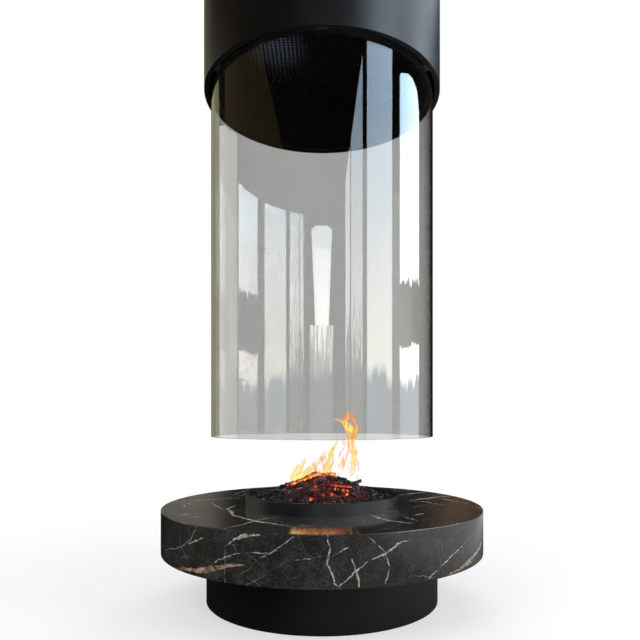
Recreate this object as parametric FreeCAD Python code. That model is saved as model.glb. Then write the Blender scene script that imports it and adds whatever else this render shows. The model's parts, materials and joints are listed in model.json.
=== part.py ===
# Round central fireplace. A stone hearth ring on a steel plinth stands on the floor and holds a fire bowl,
# and a steel hood hangs from the ceiling above it. A glass cylinder hangs inside the hood and is lowered
# over the fire by three electric lifts. Millimetres, +Z up, origin on the floor at the common axis.
import FreeCAD
import Part
import math
import os

# Common clearances
seat_gap = 0.2             # between round faces of fixed pieces that fit in each other
slide_gap = 0.3            # between the glass carriage and what guides it
turn_gap = 0.05            # between a damper shaft and its bushes
overrun = 5.0              # how far a cutting tool reaches past what it cuts

# Plinth
plinth_diameter = 981.0
plinth_height = 216.0
plinth_wall = 4.0
plinth_floor_thickness = 6.0
plinth_top_thickness = 6.0
top_plate_clearance = 3.0
anchor_hole_diameter = 14.0
floor_anchor_inset = 76.5  # from the inside of the plinth to the circle of the anchors
gusset_count = 8           # with one floor anchor in each bay between them
gusset_thickness = 5.0
gusset_margin = 4.0
gusset_hole_share = 0.27   # hole radius over the gusset's room for it

# Stone hearth and the steel frame inside it
hearth_overhang = 182.0
hearth_thickness = 176.0
stone_thickness = 30.0
soffit_thickness = 20.0
stone_arris = 2.0
rib_count = 12
rib_thickness = 6.0
rib_margin = 2.0
rib_hole_share = 0.27      # hole radius over the rib's room for it
hub_wall = 5.0
hub_clearance = 12.0

# Fire bowl, its trim rim and the grate
bowl_diameter = 656.0
bowl_rim_height = 46.0
bowl_depth = 132.0
bowl_wall = 4.0
bowl_floor_thickness = 6.0
bowl_shadow_gap = 2.0
rim_wall = 4.0
rim_skirt = 20.0
rim_lip = 2.0
rim_chamfer = 1.5
grate_clearance = 18.0
grate_thickness = 14.0
grate_foot_height = 16.0
grate_foot_diameter = 24.0
grate_foot_count = 4
grate_slot_width = 14.0
grate_slot_pitch = 30.0
grate_border = 26.0
grate_spine_width = 16.0

# Ember bed and charred logs
ember_clearance = 1.5
ember_drop = 13.0
ember_mound_height = 83.0
ember_points = 9
# name; length, radius, centre x and y over the bed's radius; turn and tilt in degrees; sunk part of it
log_shares = [
    ("log_left", 0.46, 0.038, -0.27, -0.13, 10.0, 22.0, 0.28),
    ("log_right", 0.30, 0.032, 0.24, -0.38, -6.0, -5.0, 0.30),
    ("log_front", 0.42, 0.036, -0.30, -0.54, 22.0, 20.0, 0.36),
    ("log_back", 0.52, 0.042, 0.10, 0.34, 160.0, 4.0, 0.36),
    ("log_side", 0.42, 0.036, 0.46, 0.16, 66.0, 2.0, 0.40),
    ("log_top", 0.32, 0.036, 0.03, 0.0, -6.0, 2.0, 0.20),
]
# distance along a log and radius there, over its length and radius
log_profile_shares = [(0.0, 0.82), (0.16, 1.0), (0.48, 0.9), (0.74, 0.98), (1.0, 0.7)]

# Ash pan and air box under the bowl
ash_pan_diameter = 300.0
ash_pan_wall = 2.0
ash_pan_brim = 5.0
ash_pan_clearance = 8.0    # round the pan when it is lifted out through the bowl's floor
pan_bowl_gap = 6.0
pan_air_gap = 32.0         # between the air tube's mouth and the pan
stand_ring_width = 20.0
stand_ring_thickness = 4.0
stand_leg_diameter = 10.0
stand_leg_count = 3
air_box_wall = 3.0
air_box_margin = 47.0      # bowl floor from its opening to the outside of the air box

# Air inlet and its damper
air_duct_diameter = 125.0
duct_clearance = 0.5
air_socket_length = 50.0
air_socket_step = 3.0
air_tube_wall = 3.0
air_flange_width = 24.0
air_flange_thickness = 4.0
air_blade_thickness = 2.5
air_shaft_diameter = 10.0
air_actuator_depth = 62.0
air_actuator_width = 56.0
air_actuator_height = 74.0

# Sizes that both dampers share
blade_clearance = 2.0
shaft_shoulder = 0.5       # round shaft left between the blade's flat and the bush
bush_wall = 3.0
bush_inset = 1.0           # the bush stands this far into the tube
bush_collar = 4.0
shaft_socket_share = 0.5   # how far the shaft reaches into its actuator

# Glass cylinder and its carriage
glass_diameter = 942.0
glass_wall = 8.0
glass_arris = 1.5
glass_raise = 292.0        # lower edge above the stone with the glass up, as photographed
glass_closed_gap = 4.0     # lower edge above the stone with the glass down
glass_overlap = 100.0      # glass left inside the hood with the glass down
gasket_thickness = 1.5
channel_wall = 2.0
channel_web = 4.0
channel_depth = 44.0
carrier_thickness = 12.0
carrier_edge_gap = 3.0
carrier_bolts_per_lift = 4
carrier_bolt_diameter = 6.0
carrier_bolt_head_diameter = 10.0
carrier_bolt_head_height = 6.0

# Lifts
lift_count = 3
lift_first_angle = 90.0
lift_rod_diameter = 14.0
lift_rod_neck_diameter = 10.0
lift_nut_diameter = 17.0
lift_nut_height = 8.0
lift_nut_gap = 1.1         # between a rod nut and the channel
lift_tube_wall = 3.6
lift_tube_gap = 30.5       # between the carrier ring and the tubes with the glass up
lift_grip = 44.0           # rod length still inside the tube with the glass down
lift_end_gap = 4.0
lift_shell_gap = 2.0
gearbox_depth = 92.0
gearbox_width = 56.0
gearbox_height = 90.0
gearbox_round = 6.0
motor_diameter = 44.0
motor_length = 104.0
motor_setback = 26.0

# Hood shell and its mouth
hood_wall = 3.0
hood_underside = 2130.0
hood_edge_chamfer = 1.0
bottom_ring_thickness = 4.0
bottom_ring_gap = 8.5
bottom_ring_upstand = 26.0
bottom_ring_wall = 4.0
pad_count = 6
pad_height = 30.0
pad_angle = 5.0
liner_glass_gap = 8.0
liner_wall = 3.0
liner_height = 270.0
liner_lip_in = 6.0
liner_lip_out = 5.0
liner_lip_thickness = 2.0
seal_height = 12.0
seal_glass_gap = 0.6

# Spark screen
screen_height = 173.0      # above the hood's lower edge
screen_thickness = 3.0
screen_clearance = 2.0
screen_pitch = 44.0
screen_hole = 21.0
screen_border = 14.0
screen_bracket_count = 6
screen_bracket_depth = 18.0
screen_bracket_width = 30.0
screen_bracket_thickness = 3.0

# Smoke dome, flue and ceiling plate
dome_height = 290.0
support_ring_share = 0.2   # height of the support ring over the dome's height
support_ring_width = 45.0
support_ring_thickness = 6.0
hangers_per_lift = 2
hanger_diameter = 12.0
hanger_inset = 15.0        # from the support ring's edge to the hangers
hanger_tail = 16.0
hanger_nut_diameter = 21.0
hanger_nut_height = 10.0
flue_diameter = 300.0
flue_wall = 3.0
flue_clearance = 0.5
flue_socket_length = 50.0
flue_socket_step = 3.0
flue_ceiling_gap = 8.0
flue_blade_thickness = 4.0
flue_shaft_diameter = 16.0
flue_actuator_depth = 90.0
flue_actuator_width = 70.0
flue_actuator_height = 96.0
ceiling_plate_thickness = 8.0
ceiling_flange_height = 46.0
ceiling_flange_wall = 5.0
ceiling_hole_gap = 9.0
ceiling_anchor_inset = 67.0
ceiling_anchors_per_lift = 3
shell_top_gap = 3.0
shell_screws_per_lift = 3
shell_screw_diameter = 6.0
shell_screw_head_diameter = 11.0
shell_screw_head_height = 3.0

# Radii worked out from the sizes above
plinth_radius = plinth_diameter / 2
plinth_inner = plinth_radius - plinth_wall
hearth_radius = plinth_radius + hearth_overhang
apron_inner = hearth_radius - stone_thickness
bowl_radius = bowl_diameter / 2
stone_hole = bowl_radius + bowl_shadow_gap
hub_radius = stone_hole + hub_clearance
rim_inner = bowl_radius - rim_wall
bowl_pan_radius = rim_inner - bowl_shadow_gap
bowl_pan_inner = bowl_pan_radius - bowl_wall
ember_radius = bowl_pan_inner - ember_clearance
ash_pan_radius = ash_pan_diameter / 2
bowl_opening = ash_pan_radius + ash_pan_clearance
air_box_radius = bowl_opening + air_box_margin
air_socket_radius = air_duct_diameter / 2 + duct_clearance
air_tube_inner = air_socket_radius - air_socket_step
air_tube_outer = air_socket_radius + air_tube_wall
air_blade_radius = air_tube_inner - blade_clearance
glass_radius = glass_diameter / 2
glass_inner = glass_radius - glass_wall
liner_radius = glass_inner - liner_glass_gap
liner_inner = liner_radius - liner_wall
gasket_inner = glass_inner - gasket_thickness
gasket_outer = glass_radius + gasket_thickness
channel_inner = gasket_inner - channel_wall
channel_outer = gasket_outer + channel_wall
lift_tube_bore = lift_rod_diameter / 2 + slide_gap
lift_tube_radius = lift_tube_bore + lift_tube_wall
lift_circle = channel_outer + lift_nut_gap + lift_nut_diameter / 2
lift_outer = lift_circle + lift_tube_radius
hood_inner = lift_outer + lift_shell_gap
hood_radius = hood_inner + hood_wall
carrier_outer = hood_inner - carrier_edge_gap
flue_socket_radius = flue_diameter / 2 + flue_clearance
flue_tube_inner = flue_socket_radius - flue_socket_step
flue_tube_outer = flue_socket_radius + flue_wall
flue_blade_radius = flue_tube_inner - blade_clearance

# Heights worked out from the sizes above
hearth_top = plinth_height + hearth_thickness
stone_top_bottom = hearth_top - stone_thickness
soffit_top = plinth_height + soffit_thickness
plinth_plate_bottom = plinth_height - plinth_top_thickness
rim_top = hearth_top + bowl_rim_height
bowl_top = rim_top - rim_wall
bowl_floor = rim_top - bowl_depth
bowl_bottom = bowl_floor - bowl_floor_thickness
grate_bottom = bowl_floor + grate_foot_height
grate_top = grate_bottom + grate_thickness
ember_edge = rim_top - ember_drop
air_axis = air_socket_length + blade_clearance + air_blade_radius
air_tube_top = air_axis + air_blade_radius + blade_clearance
pan_bottom = air_tube_top + pan_air_gap
pan_top = bowl_bottom - pan_bowl_gap
glass_bottom = hearth_top + glass_raise
glass_travel = glass_raise - glass_closed_gap
glass_length = hood_underside + glass_overlap - hearth_top - glass_closed_gap
glass_top = glass_bottom + glass_length
channel_bottom = glass_top - channel_depth
gasket_top = glass_top + gasket_thickness
channel_top = gasket_top + channel_web
carrier_top = channel_top + carrier_thickness
lift_tube_bottom = carrier_top + lift_tube_gap
lift_rod_top = lift_tube_bottom + lift_grip + glass_travel
lift_tube_top = lift_rod_top + lift_end_gap
plate_bottom = lift_tube_top + gearbox_height
ceiling_height = plate_bottom + ceiling_plate_thickness
screen_bottom = hood_underside + screen_height
liner_top = hood_underside + liner_height
dome_top = liner_top + dome_height
flue_top = plate_bottom - flue_ceiling_gap
flue_socket_bottom = flue_top - flue_socket_length
flue_axis = flue_socket_bottom - blade_clearance - flue_blade_radius

origin = FreeCAD.Vector()
along_x = FreeCAD.Vector(1, 0, 0)
along_y = FreeCAD.Vector(0, 1, 0)
up = FreeCAD.Vector(0, 0, 1)
full_turn = 360.0
quarter_turn = 90.0
nut_sides = 6


def spun(outline):
    # a solid of revolution about Z from (radius, height) points
    corners = [FreeCAD.Vector(radius, 0, height) for radius, height in outline]
    wire = Part.makePolygon(corners + corners[:1])
    return Part.Face(wire).revolve(origin, up, full_turn)


def ring(outer, inner, bottom, top):
    return spun([(inner, bottom), (outer, bottom), (outer, top), (inner, top)])


def rod(radius, start, direction, length):
    return Part.makeCylinder(radius, length, start, direction)


def post(radius, circle, bottom, top):
    # an upright cylinder at the +X side of a circle round the axis
    return rod(radius, FreeCAD.Vector(circle, 0, bottom), up, top - bottom)


def block(x_range, y_range, z_range):
    corner = FreeCAD.Vector(x_range[0], y_range[0], z_range[0])
    sizes = [high - low for low, high in (x_range, y_range, z_range)]
    return Part.makeBox(*sizes, corner)


def turned(shape, angle):
    copy = shape.copy()
    copy.rotate(origin, up, angle)
    return copy


def angles(count, first=0.0):
    return [first + full_turn * index / count for index in range(count)]


def all_round(shape, count, first=0.0):
    return [turned(shape, angle) for angle in angles(count, first)]


def between_lifts(shape, per_lift):
    # copies spread evenly round the axis so that none of them stands in line with a lift
    count = per_lift * lift_count
    return all_round(shape, count, lift_first_angle + full_turn / count / 2)


def upright_plate(outline, thickness, hole_centre, hole_radius):
    # a plate in the XZ plane with one round hole, centred on its thickness
    corners = [FreeCAD.Vector(x, -thickness / 2, z) for x, z in outline]
    face = Part.Face(Part.makePolygon(corners + corners[:1]))
    plate = face.extrude(along_y * thickness)
    start = FreeCAD.Vector(hole_centre[0], -thickness / 2 - overrun, hole_centre[1])
    return plate.cut(rod(hole_radius, start, along_y, thickness + 2 * overrun))


def flat_holed(outer_radius, hole_wires, bottom, thickness):
    # a round plate with a pattern of holes, made as one holed face
    edge = Part.Wire(Part.makeCircle(outer_radius, FreeCAD.Vector(0, 0, bottom)))
    face = Part.Face([edge] + hole_wires)
    face.validate()
    return face.extrude(up * thickness)


def flat_loop(corners, height):
    closed = corners + corners[:1]
    return Part.makePolygon([FreeCAD.Vector(x, y, height) for x, y in closed])


def nut(diameter, bore_diameter, height, place):
    # a hexagon nut standing on a point
    arm = along_x * (diameter / 2)
    corners = [place + FreeCAD.Rotation(up, angle).multVec(arm) for angle in angles(nut_sides)]
    body = Part.Face(Part.makePolygon(corners + corners[:1])).extrude(up * height)
    return body.cut(rod(bore_diameter / 2, place - up * overrun, up, height + 2 * overrun))


def save(name, *solids):
    shape = solids[0] if len(solids) == 1 else Part.Compound(list(solids))
    shape.exportStep(os.path.join("parts", name + ".step"))


def plinth():
    save("plinth_shell", ring(plinth_radius, plinth_inner, 0, plinth_height))

    disc_edge = plinth_inner - seat_gap
    floor_plate = ring(disc_edge, air_tube_outer + seat_gap, 0, plinth_floor_thickness)
    anchor_circle = plinth_inner - floor_anchor_inset
    drill = post(anchor_hole_diameter / 2, anchor_circle, -overrun, plinth_floor_thickness + overrun)
    for cut in all_round(drill, gusset_count):
        floor_plate = floor_plate.cut(cut)
    save("plinth_floor_plate", floor_plate)

    plate_inner = air_box_radius + top_plate_clearance
    save("plinth_top_plate", ring(disc_edge, plate_inner, plinth_plate_bottom, plinth_height))

    inner, outer = plate_inner + gusset_margin, plinth_inner - gusset_margin
    low, high = plinth_floor_thickness, plinth_plate_bottom
    outline = [(inner, low), (outer, low), (outer, high), (inner, high)]
    middle = ((inner + outer) / 2, (low + high) / 2)
    room = min(outer - inner, high - low)
    gusset = upright_plate(outline, gusset_thickness, middle, room * gusset_hole_share)
    save("plinth_gussets", *all_round(gusset, gusset_count, full_turn / gusset_count / 2))


def stone():
    # the top slab and the apron meet in a mitre behind the outer arris
    corner = hearth_radius - stone_arris
    save("stone_top", spun([
        (stone_hole, stone_top_bottom),
        (apron_inner, stone_top_bottom),
        (corner, hearth_top - stone_arris),
        (corner, hearth_top),
        (stone_hole, hearth_top),
    ]))
    save("stone_apron", spun([
        (apron_inner, plinth_height),
        (corner, plinth_height),
        (hearth_radius, plinth_height + stone_arris),
        (hearth_radius, hearth_top - stone_arris),
        (corner, hearth_top),
        (corner, hearth_top - stone_arris),
        (apron_inner, stone_top_bottom),
    ]))
    save("stone_soffit", ring(apron_inner, plinth_inner, plinth_height, soffit_top))


def hearth_frame():
    # a welded hub with cantilever ribs that stand on the plinth and carry the stone
    hub_outer = hub_radius + hub_wall
    hub = ring(hub_outer, hub_radius, plinth_height, stone_top_bottom)
    step = plinth_inner - rib_margin
    tip = apron_inner - rib_margin
    outline = [
        (hub_radius, plinth_height),
        (step, plinth_height),
        (step, soffit_top),
        (tip, soffit_top),
        (tip, stone_top_bottom),
        (hub_radius, stone_top_bottom),
    ]
    middle = ((hub_outer + step) / 2, (plinth_height + stone_top_bottom) / 2)
    room = min(step - hub_outer, stone_top_bottom - plinth_height)
    rib = upright_plate(outline, rib_thickness, middle, room * rib_hole_share)
    bore = rod(hub_radius + hub_wall / 2, FreeCAD.Vector(0, 0, plinth_height - overrun), up, hearth_thickness)
    save("hearth_frame", hub.multiFuse(all_round(rib.cut(bore), rib_count)))


def fire_bowl():
    save("fire_bowl", spun([
        (bowl_opening, bowl_bottom),
        (bowl_pan_radius, bowl_bottom),
        (bowl_pan_radius, bowl_top),
        (bowl_pan_inner, bowl_top),
        (bowl_pan_inner, bowl_floor),
        (bowl_opening, bowl_floor),
    ]))
    lip_inner = bowl_pan_inner - rim_lip
    rim_bottom = hearth_top - rim_skirt
    save("bowl_rim", spun([
        (rim_inner, rim_bottom),
        (bowl_radius, rim_bottom),
        (bowl_radius, rim_top - rim_chamfer),
        (bowl_radius - rim_chamfer, rim_top),
        (lip_inner, rim_top),
        (lip_inner, bowl_top),
        (rim_inner, bowl_top),
    ]))


def grate():
    radius = bowl_pan_inner - grate_clearance
    reach = radius - grate_border
    half_spine = grate_spine_width / 2
    rows = int((reach - grate_slot_width) // grate_slot_pitch)
    slots = []
    for row in range(-rows, rows + 1):
        low = row * grate_slot_pitch - grate_slot_width / 2
        high = low + grate_slot_width
        end = math.sqrt(reach ** 2 - max(abs(low), abs(high)) ** 2)
        if end > grate_spine_width:
            for near, far in ((-end, -half_spine), (half_spine, end)):
                slots.append(flat_loop([(near, low), (far, low), (far, high), (near, high)], grate_bottom))
    plate = flat_holed(radius, slots, grate_bottom, grate_thickness)
    foot = post(grate_foot_diameter / 2, radius - grate_border / 2, bowl_floor, grate_bottom)
    save("grate", plate.multiFuse(all_round(foot, grate_foot_count, full_turn / grate_foot_count / 2)))


def ember_height(radius):
    share = radius / ember_radius
    return ember_edge + ember_mound_height * (1 - share ** 2) ** 2


def charred_log(length, radius, place, turn, tilt):
    # a stick that swells and tapers, lying across a point
    corners = [FreeCAD.Vector(-length / 2, 0, 0)]
    for along, swell in log_profile_shares:
        corners.append(FreeCAD.Vector(along * length - length / 2, 0, radius * swell))
    corners.append(FreeCAD.Vector(length / 2, 0, 0))
    stick = Part.Face(Part.makePolygon(corners + corners[:1])).revolve(origin, along_x, full_turn)
    stick.rotate(origin, along_y, -tilt)
    stick.rotate(origin, up, turn)
    stick.translate(place)
    return stick


def fire():
    # logs lie half sunk in the bed, which is hollowed to fit them
    step = ember_radius / (ember_points - 1)
    crest = [FreeCAD.Vector(index * step, 0, ember_height(index * step)) for index in range(ember_points)]
    curve = Part.BSplineCurve()
    curve.interpolate(crest, InitialTangent=along_x, FinalTangent=along_x)
    centre = FreeCAD.Vector(0, 0, grate_top)
    edge = FreeCAD.Vector(ember_radius, 0, grate_top)
    outline = Part.Wire([
        curve.toShape(),
        Part.makeLine(crest[-1], edge),
        Part.makeLine(edge, centre),
        Part.makeLine(centre, crest[0]),
    ])
    bed = Part.Face(outline).revolve(origin, up, full_turn)
    logs = {}
    for name, length, radius, x, y, turn, tilt, sunk in log_shares:
        log_radius = radius * ember_radius
        away = math.hypot(x, y) * ember_radius
        height = ember_height(away) + log_radius - 2 * log_radius * sunk
        place = FreeCAD.Vector(x * ember_radius, y * ember_radius, height)
        stick = charred_log(length * ember_radius, log_radius, place, turn, tilt)
        for lower in logs.values():
            stick = stick.cut(lower)
        logs[name] = stick
    for name, stick in logs.items():
        bed = bed.cut(stick)
        save(name, stick)
    save("ember_bed", bed)


def ash_parts():
    save("air_box", ring(air_box_radius, air_box_radius - air_box_wall, plinth_floor_thickness, bowl_bottom))

    inside = ash_pan_radius - ash_pan_wall
    brim = ash_pan_radius - ash_pan_brim
    save("ash_pan", spun([
        (0, pan_bottom),
        (ash_pan_radius, pan_bottom),
        (ash_pan_radius, pan_top),
        (brim, pan_top),
        (brim, pan_top - ash_pan_wall),
        (inside, pan_top - ash_pan_wall),
        (inside, pan_bottom + ash_pan_wall),
        (0, pan_bottom + ash_pan_wall),
    ]))
    ring_bottom = pan_bottom - stand_ring_thickness
    stand = ring(ash_pan_radius, ash_pan_radius - stand_ring_width, ring_bottom, pan_bottom)
    leg_circle = ash_pan_radius - stand_ring_width / 2
    leg = post(stand_leg_diameter / 2, leg_circle, plinth_floor_thickness, ring_bottom)
    save("ash_pan_stand", stand.multiFuse(all_round(leg, stand_leg_count, quarter_turn)))


def damper(name, axis_height, tube_inner, tube_outer, blade_radius, blade_thickness, shaft_diameter, drive):
    # a butterfly damper that turns about X and stands upright when open; gives back the hole its bushes need
    depth, width, height = drive
    shaft_radius = shaft_diameter / 2
    bore_radius = shaft_radius + turn_gap
    bush_radius = bore_radius + bush_wall
    bush_in = tube_inner - bush_inset
    bush_out = tube_outer + bush_collar
    shaft_end = tube_outer + depth * shaft_socket_share
    flat_end = blade_radius + shaft_shoulder

    def along_shaft(radius, start, end):
        return rod(radius, FreeCAD.Vector(start, 0, axis_height), along_x, end - start)

    centre = FreeCAD.Vector(0, 0, axis_height)
    save(name + "_damper_blade", rod(blade_radius, centre, along_y, blade_thickness))

    shaft = along_shaft(shaft_radius, -bush_out, shaft_end)
    beside = (axis_height - shaft_diameter, axis_height + shaft_diameter)
    save(name + "_damper_shaft", shaft.cut(block((-flat_end, flat_end), (0, shaft_diameter), beside)))

    bush = along_shaft(bush_radius, bush_in, bush_out)
    bush = bush.cut(along_shaft(bore_radius, bush_in - overrun, bush_out + overrun))
    save(name + "_damper_bushes", *all_round(bush, 2))

    low, high = axis_height - height / 2, axis_height + height / 2
    box = block((0, tube_outer + depth), (-width / 2, width / 2), (low, high))
    box = box.cut(rod(tube_outer + seat_gap, FreeCAD.Vector(0, 0, low - overrun), up, height + 2 * overrun))
    box = box.cut(along_shaft(bush_radius + seat_gap, 0, bush_out + seat_gap))
    save(name + "_damper_actuator", box.cut(along_shaft(bore_radius, 0, shaft_end + seat_gap)))
    return along_shaft(bush_radius + seat_gap, -bush_out, bush_out)


def air_inlet():
    bush_hole = damper(
        "air", air_axis, air_tube_inner, air_tube_outer, air_blade_radius, air_blade_thickness,
        air_shaft_diameter, (air_actuator_depth, air_actuator_width, air_actuator_height),
    )
    flange = air_tube_outer + air_flange_width
    flange_top = plinth_floor_thickness + air_flange_thickness
    spigot = spun([
        (air_socket_radius, 0),
        (air_tube_outer, 0),
        (air_tube_outer, plinth_floor_thickness),
        (flange, plinth_floor_thickness),
        (flange, flange_top),
        (air_tube_outer, flange_top),
        (air_tube_outer, air_tube_top),
        (air_tube_inner, air_tube_top),
        (air_tube_inner, air_socket_length),
        (air_socket_radius, air_socket_length),
    ])
    save("air_spigot", spigot.cut(bush_hole))


def glass_carriage():
    save("glass_cylinder", spun([
        (glass_inner + glass_arris, glass_bottom),
        (glass_radius - glass_arris, glass_bottom),
        (glass_radius, glass_bottom + glass_arris),
        (glass_radius, glass_top),
        (glass_inner, glass_top),
        (glass_inner, glass_bottom + glass_arris),
    ]))
    save("channel_gasket", spun([
        (gasket_inner, channel_bottom),
        (glass_inner, channel_bottom),
        (glass_inner, glass_top),
        (glass_radius, glass_top),
        (glass_radius, channel_bottom),
        (gasket_outer, channel_bottom),
        (gasket_outer, gasket_top),
        (gasket_inner, gasket_top),
    ]))
    channel = spun([
        (channel_inner, channel_bottom),
        (gasket_inner, channel_bottom),
        (gasket_inner, gasket_top),
        (gasket_outer, gasket_top),
        (gasket_outer, channel_bottom),
        (channel_outer, channel_bottom),
        (channel_outer, channel_top),
        (channel_inner, channel_top),
    ])
    carrier = ring(carrier_outer, channel_inner, channel_top, carrier_top)
    bolt_circle = (glass_inner + glass_radius) / 2
    bolt_radius = carrier_bolt_diameter / 2
    bolt_hole = post(bolt_radius + seat_gap, bolt_circle, gasket_top, carrier_top + overrun)
    for cut in between_lifts(bolt_hole, carrier_bolts_per_lift):
        channel = channel.cut(cut)
        carrier = carrier.cut(cut)
    neck_radius = lift_rod_neck_diameter / 2 + seat_gap
    neck_hole = post(neck_radius, lift_circle, channel_top - overrun, carrier_top + overrun)
    for cut in all_round(neck_hole, lift_count, lift_first_angle):
        carrier = carrier.cut(cut)
    save("glass_channel", channel)
    save("carrier_ring", carrier)
    bolt = post(bolt_radius, bolt_circle, gasket_top + seat_gap, carrier_top)
    head_top = carrier_top + carrier_bolt_head_height
    head = post(carrier_bolt_head_diameter / 2, bolt_circle, carrier_top, head_top)
    save("carrier_bolts", *between_lifts(bolt.fuse(head), carrier_bolts_per_lift))


def lifts():
    neck_bottom = channel_top - lift_nut_height
    push_rod = post(lift_rod_diameter / 2, lift_circle, carrier_top, lift_rod_top)
    push_rod = push_rod.fuse(post(lift_rod_neck_diameter / 2, lift_circle, neck_bottom, carrier_top))
    tube = post(lift_tube_radius, lift_circle, lift_tube_bottom, lift_tube_top)
    tube = tube.cut(post(lift_tube_bore, lift_circle, lift_tube_bottom - overrun, lift_tube_top + overrun))
    gearbox_inner = lift_outer - gearbox_depth
    half_width = gearbox_width / 2
    gearbox = block((gearbox_inner, lift_outer), (-half_width, half_width), (lift_tube_top, plate_bottom))
    corners = [edge for edge in gearbox.Edges if edge.BoundBox.ZLength > gearbox_height / 2]
    gearbox = gearbox.makeFillet(gearbox_round, corners)
    motor_bottom = lift_tube_top - motor_length
    motor = post(motor_diameter / 2, gearbox_inner + motor_setback, motor_bottom, lift_tube_top)
    drive = gearbox.fuse(motor)
    for index, angle in enumerate(angles(lift_count, lift_first_angle), start=1):
        save(f"lift_rod_{index}", turned(push_rod, angle))
        save(f"lift_tube_{index}", turned(tube, angle))
        save(f"lift_drive_{index}", turned(drive, angle))
    nut_place = FreeCAD.Vector(lift_circle, 0, neck_bottom)
    rod_nut = nut(lift_nut_diameter, lift_rod_neck_diameter + 2 * seat_gap, lift_nut_height, nut_place)
    save("lift_rod_nuts", *all_round(rod_nut, lift_count, lift_first_angle))


def shell_and_ceiling_plate():
    shell_top = ceiling_height - shell_top_gap
    shell = spun([
        (hood_inner, hood_underside),
        (hood_radius - hood_edge_chamfer, hood_underside),
        (hood_radius, hood_underside + hood_edge_chamfer),
        (hood_radius, shell_top),
        (hood_inner, shell_top),
    ])
    plate_edge = hood_inner - seat_gap
    flange_inner = plate_edge - ceiling_flange_wall
    flange_bottom = plate_bottom - ceiling_flange_height
    flue_hole = flue_tube_outer + ceiling_hole_gap
    plate = spun([
        (flue_hole, plate_bottom),
        (flange_inner, plate_bottom),
        (flange_inner, flange_bottom),
        (plate_edge, flange_bottom),
        (plate_edge, ceiling_height),
        (flue_hole, ceiling_height),
    ])
    # the flange is notched where the lift drives stand
    notch_half = gearbox_width / 2 + seat_gap
    notch = block(
        (lift_outer - gearbox_depth, lift_outer + seat_gap),
        (-notch_half, notch_half),
        (flange_bottom - overrun, plate_bottom),
    )
    for cut in all_round(notch, lift_count, lift_first_angle):
        plate = plate.cut(cut)
    anchor_circle = hood_inner - ceiling_anchor_inset
    anchor = post(anchor_hole_diameter / 2, anchor_circle, plate_bottom - overrun, ceiling_height + overrun)
    for cut in between_lifts(anchor, ceiling_anchors_per_lift):
        plate = plate.cut(cut)

    screw_height = plate_bottom - ceiling_flange_height / 2
    screw_radius = shell_screw_diameter / 2
    tip = FreeCAD.Vector(flange_inner, 0, screw_height)
    seat = FreeCAD.Vector(hood_radius, 0, screw_height)
    reach = hood_radius - flange_inner
    screw_hole = rod(screw_radius + seat_gap, tip - along_x * overrun, along_x, reach + 2 * overrun)
    for cut in between_lifts(screw_hole, shell_screws_per_lift):
        shell = shell.cut(cut)
        plate = plate.cut(cut)
    head = rod(shell_screw_head_diameter / 2, seat, along_x, shell_screw_head_height)
    screw = rod(screw_radius, tip, along_x, reach).fuse(head)
    save("hood_shell", shell)
    save("ceiling_plate", plate)
    save("shell_screws", *between_lifts(screw, shell_screws_per_lift))


def hood_mouth():
    edge = hood_inner - seat_gap
    upstand_inner = edge - bottom_ring_wall
    slot_edge = glass_radius + bottom_ring_gap
    ring_top = hood_underside + bottom_ring_thickness
    upstand_top = ring_top + bottom_ring_upstand
    save("hood_bottom_ring", spun([
        (slot_edge, hood_underside),
        (edge, hood_underside),
        (edge, upstand_top),
        (upstand_inner, upstand_top),
        (upstand_inner, ring_top),
        (slot_edge, ring_top),
    ]))
    place = FreeCAD.Vector(0, 0, ring_top)
    pad = Part.makeCylinder(upstand_inner - seat_gap, pad_height, place, up, pad_angle)
    pad = pad.cut(rod(glass_radius + slide_gap, place - up * overrun, up, pad_height + 2 * overrun))
    save("glass_guide_pads", *all_round(pad, pad_count, full_turn / pad_count / 2 - pad_angle / 2))

    lip_inner = liner_inner - liner_lip_in
    lip_outer = liner_radius + liner_lip_out
    lip_top = hood_underside + liner_lip_thickness
    save("hood_liner", spun([
        (lip_inner, hood_underside),
        (lip_outer, hood_underside),
        (lip_outer, lip_top),
        (liner_radius, lip_top),
        (liner_radius, liner_top),
        (liner_inner, liner_top),
        (liner_inner, lip_top),
        (lip_inner, lip_top),
    ]))
    seal_outer, seal_inner = glass_inner - seal_glass_gap, liner_radius + seat_gap
    save("liner_seal", ring(seal_outer, seal_inner, lip_top, lip_top + seal_height))


def spark_screen():
    radius = liner_inner - screen_clearance
    half = screen_hole / math.sqrt(2)
    reach = radius - screen_border - half
    steps = int(reach // screen_pitch)
    holes = []
    for row in range(-steps, steps + 1):
        for column in range(-steps, steps + 1):
            x, y = column * screen_pitch, row * screen_pitch
            if math.hypot(x, y) <= reach:
                diamond = [(x + half, y), (x, y + half), (x - half, y), (x, y - half)]
                holes.append(flat_loop(diamond, screen_bottom))
    save("spark_screen", flat_holed(radius, holes, screen_bottom, screen_thickness))

    half_width = (-screen_bracket_width / 2, screen_bracket_width / 2)
    foot = screen_bottom - screen_bracket_depth
    ledge = block(
        (liner_inner - screen_bracket_depth, liner_inner),
        half_width,
        (screen_bottom - screen_bracket_thickness, screen_bottom),
    )
    leg = block((liner_inner - screen_bracket_thickness, liner_inner), half_width, (foot, screen_bottom))
    below = FreeCAD.Vector(0, 0, foot - overrun)
    inside = rod(liner_inner - seat_gap, below, up, screen_bracket_depth + 2 * overrun)
    save("screen_brackets", *all_round(ledge.fuse(leg).common(inside), screen_bracket_count))


def dome_radius(height):
    return liner_radius + (flue_tube_outer - liner_radius) * (height - liner_top) / dome_height


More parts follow.
